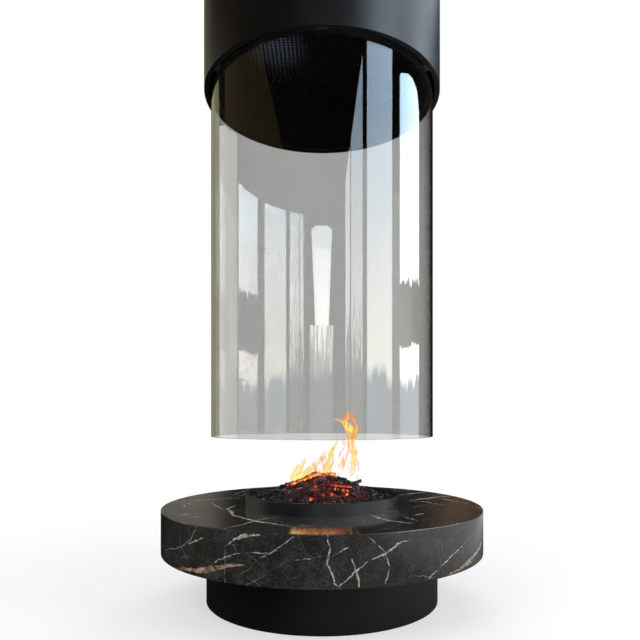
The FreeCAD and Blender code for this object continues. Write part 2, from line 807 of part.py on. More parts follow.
def smoke_dome():
    save("smoke_dome", spun([
        (liner_inner, liner_top),
        (liner_radius, liner_top),
        (flue_tube_outer, dome_top),
        (flue_tube_inner, dome_top),
    ]))
    low = liner_top + dome_height * support_ring_share
    high = low + support_ring_thickness
    outer = dome_radius(low) + support_ring_width
    support = spun([(dome_radius(low), low), (outer, low), (outer, high), (dome_radius(high), high)])
    circle = outer - hanger_inset
    hole = post(hanger_diameter / 2 + seat_gap, circle, low - overrun, high + overrun)
    for cut in between_lifts(hole, hangers_per_lift):
        support = support.cut(cut)
    save("dome_support_ring", support)
    hanger = post(hanger_diameter / 2, circle, low - hanger_tail, plate_bottom)
    save("hanger_rods", *between_lifts(hanger, hangers_per_lift))
    bore = hanger_diameter + 2 * seat_gap
    nuts = []
    for height in (low - hanger_nut_height, high):
        hanger_nut = nut(hanger_nut_diameter, bore, hanger_nut_height, FreeCAD.Vector(circle, 0, height))
        nuts += between_lifts(hanger_nut, hangers_per_lift)
    save("hanger_nuts", *nuts)


def flue():
    bush_hole = damper(
        "flue", flue_axis, flue_tube_inner, flue_tube_outer, flue_blade_radius, flue_blade_thickness,
        flue_shaft_diameter, (flue_actuator_depth, flue_actuator_width, flue_actuator_height),
    )
    collar = spun([
        (flue_tube_inner, dome_top),
        (flue_tube_outer, dome_top),
        (flue_tube_outer, flue_top),
        (flue_socket_radius, flue_top),
        (flue_socket_radius, flue_socket_bottom),
        (flue_tube_inner, flue_socket_bottom),
    ])
    save("flue_collar", collar.cut(bush_hole))


os.makedirs("parts", exist_ok=True)
plinth()
stone()
hearth_frame()
fire_bowl()
grate()
fire()
ash_parts()
air_inlet()
glass_carriage()
lifts()
shell_and_ceiling_plate()
hood_mouth()
spark_screen()
smoke_dome()
flue()
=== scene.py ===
import json
import math
import random

import bmesh
import bpy
from mathutils import Euler, Matrix, Vector, noise
from mathutils.geometry import delaunay_2d_cdt


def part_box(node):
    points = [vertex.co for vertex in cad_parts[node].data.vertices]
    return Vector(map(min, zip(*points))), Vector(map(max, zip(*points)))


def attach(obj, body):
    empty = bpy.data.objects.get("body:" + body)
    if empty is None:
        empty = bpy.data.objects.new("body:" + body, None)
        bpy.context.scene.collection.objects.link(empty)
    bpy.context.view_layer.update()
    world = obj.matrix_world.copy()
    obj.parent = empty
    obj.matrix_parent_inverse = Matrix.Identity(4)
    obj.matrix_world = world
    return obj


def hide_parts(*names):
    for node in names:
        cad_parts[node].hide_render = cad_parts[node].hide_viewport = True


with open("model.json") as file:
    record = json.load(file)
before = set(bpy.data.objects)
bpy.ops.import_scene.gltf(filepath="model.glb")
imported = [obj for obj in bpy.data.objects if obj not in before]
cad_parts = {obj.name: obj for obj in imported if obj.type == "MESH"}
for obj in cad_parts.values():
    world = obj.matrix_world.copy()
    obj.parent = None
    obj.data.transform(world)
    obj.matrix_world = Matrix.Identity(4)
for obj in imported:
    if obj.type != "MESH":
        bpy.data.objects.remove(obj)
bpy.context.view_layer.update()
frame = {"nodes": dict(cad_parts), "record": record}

cadNodes = frame["nodes"]
hearthBody = "hearth_and_hood"
glassBody = "glass_carriage"
tiny = 1e-4  # keeps a division away from nought
print("frame loaded,", len(cadNodes), "solids")

# node helpers; a grain is a cloud's scale, detail and roughness
# a reach is the two ends of a span and what they become
cloudSpan = (0.3, 0.7)  # where most of a cloud's values lie
current = dict(tree=None)  # the node tree that the helpers add to


def newNode(kind, **inputs):
    node = current["tree"].nodes.new("ShaderNode" + kind)
    plugAll(node, inputs)
    return node


def plug(socket, value):
    # a socket is linked, anything else is typed in
    if isinstance(value, bpy.types.NodeSocket):
        current["tree"].links.new(value, socket)
    elif socket.type == "RGBA":
        socket.default_value = (*value, 1)
    else:
        socket.default_value = value


def plugAll(node, inputs):
    for name, value in inputs.items():
        plug(node.inputs[name.replace("_", " ")], value)


def startFinish(name, **sockets):
    material = bpy.data.materials.new(name)
    material.use_nodes = True
    current["tree"] = material.node_tree
    shader = material.node_tree.nodes["Principled BSDF"]
    plugAll(shader, sockets)
    return material, shader


def startGlow(name):
    # a material that only gives light
    material, shader = startFinish(name)
    material.node_tree.nodes.remove(shader)
    return material, newNode("Emission")


def mixOut(share, first, second, output="Material Output"):
    mix = newNode("MixShader")
    plug(mix.inputs[0], share)
    plug(mix.inputs[1], first.outputs[0])
    plug(mix.inputs[2], second.outputs[0])
    plug(current["tree"].nodes[output].inputs["Surface"], mix.outputs[0])


def objectPlace(stretch=None):
    place = newNode("TexCoord").outputs["Object"]
    if not stretch:
        return place
    return newNode("Mapping", Vector=place, Scale=stretch).outputs["Vector"]


def splitParts(vector):
    return newNode("SeparateXYZ", Vector=vector).outputs[:3]


def facingUp():
    return splitParts(newNode("NewGeometry").outputs["Normal"])[2]


def cloud(place, scale, detail=3.0, roughness=0.55, colour=False):
    node = newNode("TexNoise", Vector=place, Scale=scale, Detail=detail, Roughness=roughness)
    return node.outputs["Color" if colour else 0]


def cells(place, scale, feature="DISTANCE_TO_EDGE"):
    node = newNode("TexVoronoi", Vector=place, Scale=scale)
    node.feature = feature
    return node.outputs["Distance"]


def sums(operation, first, *others, clamp=False):
    # the values are joined in their order, two at a time
    for other in others or (0.0,):
        node = newNode("Math")
        node.operation = operation
        node.use_clamp = clamp
        plug(node.inputs[0], first)
        plug(node.inputs[1], other)
        first = node.outputs[0]
    return first


def vectorSum(operation, first, second=(0, 0, 0)):
    node = newNode("VectorMath")
    node.operation = operation
    plug(node.inputs[0], first)
    plug(node.inputs[1], second)
    return node.outputs["Value" if operation in ("DOT_PRODUCT", "DISTANCE", "LENGTH") else "Vector"]


def span(value, fromLow, fromHigh, toLow=0.0, toHigh=1.0, smooth=False):
    node = newNode("MapRange", Value=value, From_Min=fromLow, From_Max=fromHigh, To_Min=toLow, To_Max=toHigh)
    if smooth:
        node.interpolation_type = "SMOOTHSTEP"
    return node.outputs["Result"]


def patch(place, grain, reach):
    return span(cloud(place, *grain), *reach)


def blendColour(share, first, second, kind="MIX"):
    node = newNode("Mix")
    node.data_type = "RGBA"
    node.blend_type = kind
    plug(node.inputs[0], share)
    plug(node.inputs[6], first)
    plug(node.inputs[7], second)
    return node.outputs[2]


def ramp(share, stops):
    node = newNode("ValToRGB")
    marks = node.color_ramp.elements
    while len(marks) < len(stops):
        marks.new(0.5)
    for mark, (place, colour) in zip(marks, stops):
        mark.position = place
        mark.color = (*colour, 1)
    plug(node.inputs[0], share)
    return node.outputs[0]


def twoTone(shader, share, look, stops=cloudSpan):
    colours = [(stops[0], look["dark"]), (stops[1], look["pale"])]
    plug(shader.inputs["Base Color"], ramp(share, colours))


def warped(place, scale, strength):
    # pushes a place about by a cloud, for lines that wander
    centred = vectorSum("SUBTRACT", cloud(place, scale, 2.0, colour=True), (0.5, 0.5, 0.5))
    return vectorSum("ADD", place, vectorSum("MULTIPLY", centred, (strength, strength, strength)))


def relief(shader, height, strength, depth):
    node = newNode("Bump", Height=height, Strength=strength, Distance=depth)
    plug(shader.inputs["Normal"], node.outputs["Normal"])


def painted(layer):
    # the two values that are painted on a mesh as a map of that name
    node = newNode("UVMap")
    node.uv_map = layer
    return splitParts(node.outputs["UV"])[:2]


# painted metal
paintGrain = dict(patches=(7.0, 4.0), smears=(23.0, 3.0), relief=(0.03, 0.0003))
paintLooks = {
    "satinBlack": dict(dark=(0.0026, 0.0026, 0.0028), pale=(0.0042, 0.0041, 0.0042),
                       rough=(0.35, 0.41), grain=420, gloss=0.5),
    "mattBlack": dict(dark=(0.003, 0.003, 0.0031), pale=(0.005, 0.0047, 0.0045),
                      rough=(0.5, 0.66), grain=700, gloss=0.2),
    "screenBlack": dict(dark=(0.006, 0.006, 0.0064), pale=(0.01, 0.01, 0.0105),
                        rough=(0.05, 0.08), grain=300, gloss=0.7),
    "plinthBlack": dict(dark=(0.0062, 0.0062, 0.0063), pale=(0.0088, 0.0088, 0.009),
                        rough=(0.42, 0.5), grain=600, gloss=0.45),
    "blackenedSteel": dict(dark=(0.008, 0.0075, 0.007), pale=(0.03, 0.027, 0.025),
                           rough=(0.5, 0.75), grain=300, gloss=0.4),
}


def paintFinish(name):
    look = paintLooks[name]
    material, shader = startFinish(name, Specular_IOR_Level=look["gloss"])
    place = objectPlace()
    twoTone(shader, cloud(place, *paintGrain["patches"]), look)
    smears = patch(place, paintGrain["smears"], (*cloudSpan, *look["rough"]))
    plug(shader.inputs["Roughness"], smears)
    relief(shader, cloud(place, look["grain"], 1.0), *paintGrain["relief"])
    return material


# plain metal, with fine lines round the piece as left by a lathe or a roller
steelGrain = dict(patches=(11.0, 4.0), stretch=(0.03, 0.03, 1), relief=(0.08, 0.0003))
steelLooks = {
    "rimSteel": dict(dark=(0.0135, 0.0145, 0.0157), pale=(0.0225, 0.024, 0.026),
                     metal=0.25, rough=(0.4, 0.5), lines=420),
    "millSteel": dict(dark=(0.3, 0.3, 0.305), pale=(0.46, 0.46, 0.47), rough=(0.3, 0.48), lines=260),
    "zincPlate": dict(dark=(0.42, 0.42, 0.4), pale=(0.6, 0.6, 0.58), rough=(0.28, 0.42), lines=180),
    "anodised": dict(dark=(0.52, 0.52, 0.53), pale=(0.64, 0.64, 0.65), rough=(0.3, 0.38), lines=500),
    "chromeRod": dict(dark=(0.68, 0.68, 0.69), pale=(0.78, 0.78, 0.79), rough=(0.06, 0.12), lines=700),
    "bronzeBush": dict(dark=(0.42, 0.27, 0.12), pale=(0.62, 0.43, 0.2), rough=(0.25, 0.4), lines=600),
    "castIron": dict(dark=(0.018, 0.017, 0.016), pale=(0.045, 0.042, 0.04),
                     metal=0.6, rough=(0.55, 0.8), lines=120),
}


def steelFinish(name):
    look = steelLooks[name]
    material, shader = startFinish(name, Metallic=look.get("metal", 1.0))
    twoTone(shader, cloud(objectPlace(), *steelGrain["patches"]), look)
    lines = cloud(objectPlace(steelGrain["stretch"]), look["lines"], 2.0)
    plug(shader.inputs["Roughness"], span(lines, *cloudSpan, *look["rough"]))
    relief(shader, lines, *steelGrain["relief"])
    return material


# fibre, graphite and plastic inside the hood
softGrain = dict(threads=0.5, mottle=(40.0, 3.0), stops=(0.35, 0.95), relief=0.3)
softLooks = {
    "sealFibre": dict(dark=(0.022, 0.0215, 0.021), pale=(0.06, 0.058, 0.055),
                      rough=0.9, weave=520, depth=0.001),
    "guideGraphite": dict(dark=(0.04, 0.04, 0.043), pale=(0.075, 0.075, 0.08),
                          rough=0.45, weave=900, depth=0.0002),
    "actuatorPlastic": dict(dark=(0.15, 0.15, 0.16), pale=(0.2, 0.2, 0.21),
                            rough=0.5, weave=1500, depth=0.0002),
}


def softFinish(name):
    look = softLooks[name]
    material, shader = startFinish(name, Roughness=look["rough"])
    place = objectPlace()
    threads = cells(place, look["weave"], "F1")
    mottle = sums("MULTIPLY", threads, softGrain["threads"])
    mottle = sums("ADD", mottle, cloud(place, *softGrain["mottle"]))
    twoTone(shader, mottle, look, softGrain["stops"])
    relief(shader, threads, softGrain["relief"], look["depth"])
    return material


# polished marble: dark green-grey ground, white cracks that slant and cross, cream and rust bands
# a set of cracks has a heading, cracks per metre and a shift
marbleLook = dict(
    index=1.55,
    ground=[(0.3, (0.0115, 0.0125, 0.0115)), (0.5, (0.0255, 0.027, 0.0245)), (0.7, (0.054, 0.056, 0.05))],
    groundGrain=(17.0, 10.0, 0.74),
    speckle=dict(grain=(170.0, 2.0, 0.7), reach=(0.36, 0.64, 0.5, 1.6)),
    brown=(0.034, 0.025, 0.017),
    brownPatch=dict(grain=(4.0, 5.0), reach=(0.5, 0.72, 0, 0.6)),
    hair=(0.27, 0.262, 0.24),
    hairShare=0.85,
    hairHalf=0.0011,
    hairSets=[((-0.4, 0.3, 0.85), 17.0, 0.31), ((0.8, -0.2, 0.5), 13.0, 0.17), ((0.9, 0.5, -0.3), 9.0, 0.43)],
    rust=(0.2, 0.085, 0.035),
    cream=(0.52, 0.4, 0.3),
    creamPatch=dict(grain=(34.0, 5.0, 0.7), reach=(0.42, 0.56)),
    bandPatch=dict(grain=(46.0, 6.0, 0.7), reach=(0.36, 0.5)),
    bandShare=0.92,
    white=(0.66, 0.63, 0.57),
    seamHalf=0.0026,
    seamSets=[((-0.42, 0.35, 0.9), 4.6, 0.2), ((0.9, 0.4, 0.34), 3.0, 0.55), ((0.8, -0.5, -0.4), 3.4, 0.8)],
    seamFade=(-0.5, -0.1, 0.25, 1.0),  # fainter towards the front
    wear=dict(grain=(60.0, 5.0, 0.7), reach=(0.36, 0.56, 0.12, 1.0)),
    fleckCells=170.0,
    fleckReach=(0.06, 0.16, 0.5, 0.0),
    fleckPatch=dict(grain=(21.0, 3.0), reach=(0.5, 0.68)),
    bends=[(11.0, 0.036), (70.0, 0.0095)],  # scale and strength of the clouds that bend all lines
    frontEdge=(-0.12, -0.02),  # the drawn veins fade out between these, in y
    levelEdge=(0.4, 0.6),  # how level the stone is where its side becomes its top
    polish=dict(grain=(16.0, 4.0), reach=(*cloudSpan, 0.06, 0.12)),
    wave=(9.0, 1.0),
    waveRelief=(0.02, 0.0004),
)
veinLook = dict(
    end=0.25,  # share of a vein's width that is left at its ends
    cap=0.02,  # how far past its ends a stroke is narrowed
    edge=(-0.0006, 0.001),  # how softly a vein's edge fades, in metres
    gnaw=dict(grain=(52.0, 4.0, 0.65), reach=(0.36, 0.64, -0.0015, 0.0017)),  # how far the edge is eaten away
)
seamLook = dict(
    wander=dict(grain=(2.4, 1.0), reach=(0.0, 1.0, -0.16, 0.16)),
    shift=(3, 7, 5),  # moves the breaks of one set away from those of the next
    breaks=(5.0, 3.0),
    breakReach=(0.46, 0.66),
    gone=-0.001,
    edge=(-0.0004, 0.0008),
)
# the veins that face the viewer: half width, and a chain of places, in x and z on the side, x and y on top
sideVeins = [
    (0.002, [(-0.32, 0.335), (-0.28, 0.365)]),
    (0.007, [(-0.295, 0.36), (-0.25, 0.38), (-0.2, 0.385)]),
    (0.0022, [(-0.37, 0.265), (-0.34, 0.29), (-0.265, 0.32)]),
    (0.002, [(-0.205, 0.305), (-0.13, 0.35), (-0.08, 0.385)]),
    (0.0013, [(-0.26, 0.32), (-0.14, 0.335)]),
    (0.0026, [(0.015, 0.39), (0.02, 0.32), (0.04, 0.235), (0.065, 0.22)]),
    (0.0015, [(0.03, 0.32), (0.12, 0.365)]),
    (0.003, [(0.055, 0.225), (0.14, 0.3)]),
    (0.0026, [(0.095, 0.31), (0.125, 0.22)]),
    (0.003, [(0.155, 0.305), (0.2, 0.325), (0.245, 0.355), (0.295, 0.37)]),
    (0.0014, [(0.15, 0.38), (0.2, 0.335), (0.22, 0.285), (0.205, 0.22)]),
    (0.0018, [(0.345, 0.22), (0.42, 0.27), (0.53, 0.325)]),
    (0.0032, [(0.5, 0.23), (0.6, 0.27), (0.64, 0.35)]),
    (0.0018, [(-0.48, 0.32), (-0.39, 0.36)]),
    (0.0012, [(-0.1, 0.305), (0.0, 0.32)]),
]
topVeins = [
    (0.0055, [(-0.67, 0.05), (-0.52, 0.12), (-0.38, 0.18)]),
    (0.004, [(-0.43, 0.26), (-0.4, 0.4), (-0.37, 0.52)]),
    (0.0032, [(-0.49, 0.05), (-0.45, -0.06), (-0.39, -0.18)]),
    (0.0058, [(-0.36, -0.06), (-0.385, -0.14), (-0.33, -0.32), (-0.235, -0.43), (-0.12, -0.52)]),
    (0.004, [(-0.33, -0.58), (-0.25, -0.45), (-0.16, -0.32)]),
    (0.0075, [(0.18, -0.3), (0.24, -0.43), (0.32, -0.47)]),
    (0.008, [(0.36, 0.27), (0.45, 0.34), (0.53, 0.41)]),
    (0.008, [(0.4, 0.1), (0.48, 0.16), (0.56, 0.22), (0.63, 0.26)]),
    (0.005, [(0.54, 0.17), (0.57, 0.11), (0.63, -0.01)]),
    (0.0045, [(0.37, 0.08), (0.45, 0.06), (0.51, -0.02)]),
    (0.005, [(0.35, -0.31), (0.395, -0.26)]),
    (0.003, [(0.31, -0.33), (0.345, -0.42)]),
    (0.0045, [(-0.56, -0.3), (-0.47, -0.26)]),
]
sideBands = [
    (0.011, [(-0.52, 0.22), (-0.4, 0.245), (-0.26, 0.285)]),
    (0.009, [(0.43, 0.22), (0.54, 0.24), (0.61, 0.28)]),
]


def strokeDepth(place, start, end, across, startHalf, endHalf):
    # how far inside one straight stroke a place is; past its ends the stroke narrows to nothing
    cap = veinLook["cap"]
    reach = end - start
    along = vectorSum("DOT_PRODUCT", place, reach / reach.length_squared)
    first = start.dot(reach) / reach.length_squared
    width = span(along, first, first + 1, startHalf, endHalf)
    fromMiddle = sums("ABSOLUTE", sums("SUBTRACT", along, first + 0.5))
    closing = span(fromMiddle, 0.5, 0.5 + cap / reach.length, 0.0, 2 * cap)
    away = sums("SUBTRACT", vectorSum("DOT_PRODUCT", place, across), start.dot(across))
    away = sums("ADD", sums("ABSOLUTE", away), closing)
    return sums("SUBTRACT", width, away)


def strokes(place, upright, veins, ragged=0.0):
    # chains on the side when upright, on the top when not; each runs thin at both its ends
    outward = Vector((0, 1, 0) if upright else (0, 0, 1))
    depth = -1.0
    for half, chain in veins:
        corners = [Vector((x, 0, y) if upright else (x, y, 0)) for x, y in chain]
        if len(corners) == 2:
            corners.insert(1, (corners[0] + corners[1]) / 2)
        halves = [half] * len(corners)
        halves[0] = halves[-1] = half * veinLook["end"]
        for i in range(len(corners) - 1):
            across = (corners[i + 1] - corners[i]).cross(outward).normalized()
            stroke = strokeDepth(place, corners[i], corners[i + 1], across, halves[i], halves[i + 1])
            depth = sums("MAXIMUM", stroke, depth)
    return span(sums("SUBTRACT", depth, ragged), *veinLook["edge"])


def seams(place, sets, half):
    # cracks on sets of parallel planes that wander, broken off where a slow cloud is thin
    look = seamLook
    most = 0.0
    for heading, perMetre, drift in sets:
        path = vectorSum("DOT_PRODUCT", place, Vector(heading).normalized())
        path = sums("ADD", path, drift, patch(place, **look["wander"]))
        path = sums("FRACT", sums("MULTIPLY", path, perMetre))
        away = sums("ABSOLUTE", sums("SUBTRACT", path, 0.5))
        shifted = vectorSum("ADD", place, [drift * step for step in look["shift"]])
        reach = (*look["breakReach"], look["gone"] * perMetre, half * perMetre)
        depth = sums("SUBTRACT", patch(shifted, look["breaks"], reach), away)
        share = span(depth, *(end * perMetre for end in look["edge"]))
        most = sums("MAXIMUM", share, most)
    return most


def marbleFinish(name, upright, veins, bands):
    look = marbleLook
    material, shader = startFinish(name, IOR=look["index"])
    place = objectPlace()
    bent = place
    for scale, strength in look["bends"]:
        bent = warped(bent, scale, strength)
    depth = splitParts(place)[1]
    if upright:
        drawn = sums("MULTIPLY", span(depth, *look["frontEdge"], 1, 0),
                     span(facingUp(), *look["levelEdge"], 1, 0))
    else:
        drawn = span(facingUp(), *look["levelEdge"])

    colour = ramp(cloud(place, *look["groundGrain"]), look["ground"])
    colour = blendColour(1.0, colour, patch(place, **look["speckle"]), "MULTIPLY")
    colour = blendColour(patch(place, **look["brownPatch"]), colour, look["brown"])
    hair = sums("MULTIPLY", seams(bent, look["hairSets"], look["hairHalf"]), look["hairShare"])
    colour = blendColour(hair, colour, look["hair"])

    ragged = patch(place, **look["bandPatch"])
    band = sums("MULTIPLY", strokes(bent, upright, bands), drawn, ragged, look["bandShare"])
    bandColour = blendColour(patch(bent, **look["creamPatch"]), look["rust"], look["cream"])
    colour = blendColour(band, colour, bandColour)

    gnaw = patch(place, **veinLook["gnaw"])
    lines = sums("MULTIPLY", strokes(bent, upright, veins, gnaw), drawn)
    cracks = seams(bent, look["seamSets"], look["seamHalf"])
    cracks = sums("MULTIPLY", cracks, span(depth, *look["seamFade"]))
    lines = sums("MULTIPLY", sums("MAXIMUM", lines, cracks), patch(place, **look["wear"]))
    colour = blendColour(lines, colour, look["white"])

    flecks = span(cells(place, look["fleckCells"], "F1"), *look["fleckReach"])
    flecks = sums("MULTIPLY", flecks, patch(place, **look["fleckPatch"]))
    plug(shader.inputs["Base Color"], blendColour(flecks, colour, look["white"]))
    plug(shader.inputs["Roughness"], patch(place, **look["polish"]))
    relief(shader, cloud(place, *look["wave"]), *look["waveRelief"])
    return material


# clear glass, grey in the wall, with a trace of wave and wipe marks
glassLook = dict(
    tint=(0.64, 0.64, 0.632), index=1.5,
    wipeStretch=(1, 1, 0.25), wipe=dict(grain=(9.0, 4.0), reach=(0.5, 0.75, 0.0, 0.004)),
    waveStretch=(1, 1, 0.3), wave=(2.0, 1.0), waveRelief=(0.002, 0.01),
)


def glassFinish():
    look = glassLook
    material, shader = startFinish("clearGlass", Base_Color=look["tint"], Transmission_Weight=1.0,
                                   IOR=look["index"])
    wipe = patch(objectPlace(look["wipeStretch"]), **look["wipe"])
    plug(shader.inputs["Roughness"], wipe)
    wave = cloud(objectPlace(look["waveStretch"]), *look["wave"])
    relief(shader, wave, *look["waveRelief"])
    return material


# coals and charred wood, with glow where heat is painted on the mesh
emberLook = dict(
    rough=0.72,
    coal=[(0.3, (0.0035, 0.0033, 0.0038)), (0.6, (0.012, 0.0115, 0.013)), (0.8, (0.05, 0.049, 0.054))],
    coalGrain=(0.8, 6.0, 0.7),  # its scale is a share of the cracks' scale
    crackBend=(40.0, 0.02),
    crackRelief=(0.7, 0.003),
    ash=(0.3, 0.295, 0.31),
    ashGrain=(60.0, 6.0, 0.65),
    ashMore=(0.0, 1.0, -0.1, 0.07),
    ashReach=(0.52, 0.62),
    ashLevel=(0.1, 0.8),
    ashShade=0.5,
    glow=[(0.0, (0.0, 0.0, 0.0)), (0.28, (0.09, 0.002, 0.003)), (0.5, (0.62, 0.025, 0.008)),
          (0.74, (1.0, 0.2, 0.02)), (1.0, (1.0, 0.62, 0.13))],
    strength=1.15,
    crackGlow=(0.0, 0.2, 0.5, -0.45),
    flicker=dict(grain=(85.0, 5.0, 0.62), reach=(0.34, 0.66, -0.85, 0.5)),
)


def emberFinish(name, grain, ashShare):
    look = emberLook
    material, shader = startFinish(name, Roughness=look["rough"], Emission_Strength=look["strength"])
    place = objectPlace()
    checks = cells(warped(place, *look["crackBend"]), grain)
    scale, *rest = look["coalGrain"]
    colour = ramp(cloud(place, grain * scale, *rest), look["coal"])
    heat, dusty = painted("heat")
    powder = sums("ADD", cloud(place, *look["ashGrain"]), span(dusty, *look["ashMore"]))
    dust = sums("MULTIPLY", span(facingUp(), *look["ashLevel"]),
                span(powder, *look["ashReach"], 0, ashShare))
    plug(shader.inputs["Base Color"], blendColour(dust, colour, look["ash"]))
    flicker = sums("ADD", span(checks, *look["crackGlow"]), patch(place, **look["flicker"]))
    glow = sums("ADD", heat, sums("MULTIPLY", flicker, heat), clamp=True)
    glow = sums("SUBTRACT", glow, sums("MULTIPLY", dust, look["ashShade"]), clamp=True)
    plug(shader.inputs["Emission Color"], ramp(glow, look["glow"]))
    relief(shader, checks, *look["crackRelief"])
    return material


# flame: bright streaks with clear air between them
flameLook = dict(
    colours=[(0.0, (0.9, 0.13, 0.035)), (0.3, (1.0, 0.26, 0.025)), (0.6, (1.0, 0.52, 0.045)),
             (0.85, (1.0, 0.78, 0.18)), (1.0, (1.0, 0.9, 0.42))],
    brighten=(0.64, 0.72, 1.0, 1.75),  # heights in metres, and the strength at them
    stretch=(1, 1, 0.34),
    bend=(16.0, 0.06),
    streaks=(74.0, 4.0, 0.62),
    streakHeat=(*cloudSpan, -0.32, 0.32),
    warmHeat=(0.0, 1.0, 0.24, 0.86),
    alongHeat=(0.0, 1.0, 0.1, -0.16),
    acrossHeat=(0.3, 1.0, 0.1, -0.2),
    filled=(0.3, 1.0, 0.53, 0.42),
    gaps=(0.0, 0.12, 0.0, 0.95),
    rootFade=(0.0, 0.1),
    tipFade=(0.72, 1.0, 1.0, 0.3),
    thinFade=(0.0, 1.0, 0.3, 1.0),
)


def flameFinish():
    look = flameLook
    material, light = startGlow("flame")
    along, across = painted("flameShape")
    solid, warm = painted("flameBody")
    place = warped(objectPlace(look["stretch"]), *look["bend"])
    streaks = cloud(place, *look["streaks"])
    heat = sums("ADD", span(streaks, *look["streakHeat"]), span(warm, *look["warmHeat"]),
                span(along, *look["alongHeat"]))
    heat = sums("ADD", heat, span(across, *look["acrossHeat"]), clamp=True)
    plug(light.inputs["Color"], ramp(heat, look["colours"]))
    height = splitParts(objectPlace())[2]
    plug(light.inputs["Strength"], span(height, *look["brighten"]))
    gaps = sums("SUBTRACT", streaks, span(solid, *look["filled"]))
    ends = sums("MULTIPLY", span(along, *look["rootFade"]), span(along, *look["tipFade"]))
    share = sums("MULTIPLY", span(gaps, *look["gaps"]), ends, span(solid, *look["thinFade"]), clamp=True)
    mixOut(share, newNode("BsdfTransparent"), light)
    return material


finishes = {
    "hood_paint": paintFinish("satinBlack"),
    "inner_paint": paintFinish("mattBlack"),
    "plinth_paint": paintFinish("plinthBlack"),
    "bowl_steel": paintFinish("blackenedSteel"),
    "rim_steel": steelFinish("rimSteel"),
    "bare_steel": steelFinish("millSteel"),
    "zinc_fastener": steelFinish("zincPlate"),
    "lift_aluminium": steelFinish("anodised"),
    "lift_chrome": steelFinish("chromeRod"),
    "bush_bronze": steelFinish("bronzeBush"),
    "grate_iron": steelFinish("castIron"),
    "seal_fibre": softFinish("sealFibre"),
    "guide_graphite": softFinish("guideGraphite"),
    "actuator_plastic": softFinish("actuatorPlastic"),
    "marble": marbleFinish("polishedMarble", False, topVeins, []),
    "clear_glass": glassFinish(),
    "ember": emberFinish("emberCoal", 95.0, 0.5),
    "charred_wood": emberFinish("charredWood", 130.0, 0.3),
}
flameMaterial = flameFinish()
for part in frame["record"]["subparts"]:
    solid = cadNodes[part["node"]]
    solid.data.materials.clear()
    solid.data.materials.append(finishes[part["material_slot"]])
print("finishes made,", len(finishes) + 1)

# mesh helpers
easeShape = dict(
    most=0.3,  # most of a face that a corner takes
    flat=1.5,  # where the flat of the face starts
    sharp=35,
)


def ringSpan(node):
    points = [vertex.co for vertex in cadNodes[node].data.vertices]
    radii = [math.hypot(point.x, point.y) for point in points]
    heights = [point.z for point in points]
    return min(radii), max(radii), min(heights), max(heights)


def ringBox(node):
    inner, outer, low, high = ringSpan(node)
    return [(inner, low), (outer, low), (outer, high), (inner, high)]


def roundLoop(count, radius, x=0.0, y=0.0):
    turns = [math.tau * k / count for k in range(count)]
    return [(x + radius * math.cos(turn), y + radius * math.sin(turn)) for turn in turns]


def bandFaces(rows, columns, closed=False):
    # joins each closed row of points to the next, and the last to the first when closed
    faces = []
    for row in range(rows if closed else rows - 1):
        here, after = row * columns, (row + 1) % rows * columns
        for column in range(columns):
            ahead = (column + 1) % columns
            faces.append((here + column, after + column, after + ahead, here + ahead))
    return faces


def meshFrom(name, points, faces, sharpAngle):
    mesh = bpy.data.meshes.new(name)
    mesh.from_pydata(points, [], faces)
    work = bmesh.new()
    work.from_mesh(mesh)
    bmesh.ops.recalc_face_normals(work, faces=work.faces)
    work.to_mesh(mesh)
    work.free()
    mesh.polygons.foreach_set("use_smooth", [True] * len(mesh.polygons))
    mesh.set_sharp_from_angle(angle=math.radians(sharpAngle))
    return mesh


def paintOn(mesh, layerName, pairs):
    # one pair of values for each point of the mesh
    layer = mesh.uv_layers.new(name=layerName)
    layer.data.foreach_set("uv", [value for corner in mesh.loops for value in pairs[corner.vertex_index]])


def addPiece(name, mesh, slot, *nodes, body=hearthBody, material=None):
    piece = bpy.data.objects.new(name, mesh)
    bpy.context.scene.collection.objects.link(piece)
    mesh.materials.append(material or finishes[slot])
    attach(piece, body)
    if nodes:
        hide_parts(*nodes)
    return piece


def easedLoop(outline, ease, cuts):
    # rounds each corner of a closed loop of (radius, height)
    loop = []
    for index, corner in enumerate(outline):
        here = Vector(corner)
        back = Vector(outline[index - 1]) - here
        ahead = Vector(outline[(index + 1) % len(outline)]) - here
        reach = min(ease, back.length * easeShape["most"], ahead.length * easeShape["most"])
        first = here + back.normalized() * reach
        last = here + ahead.normalized() * reach
        loop.append(here + back.normalized() * reach * easeShape["flat"])  # keeps the long face flat
        for cut in range(cuts + 1):
            t = cut / cuts
            loop.append(first * (1 - t) ** 2 + here * (2 * t * (1 - t)) + last * t ** 2)
        loop.append(here + ahead.normalized() * reach * easeShape["flat"])
    return loop


def turnedPiece(name, outline, steps, ease, slot, node, cuts=3, **more):
    loop = easedLoop(outline, ease, cuts)
    points = [(x * p.x, y * p.x, p.y) for x, y in roundLoop(steps, 1.0) for p in loop]
    mesh = meshFrom(name, points, bandFaces(steps, len(loop), closed=True), easeShape["sharp"])
    return addPiece(name, mesh, slot, node, **more)


# hood: shell, ring under it, inner skirt
hoodShape = dict(steps=224, shellEase=0.0013, ringEase=0.0009, ringUpstand=0.004, ringPlate=0.004,
                 linerEase=0.0007, linerWall=0.003, linerLip=0.002, nearTop=0.001)


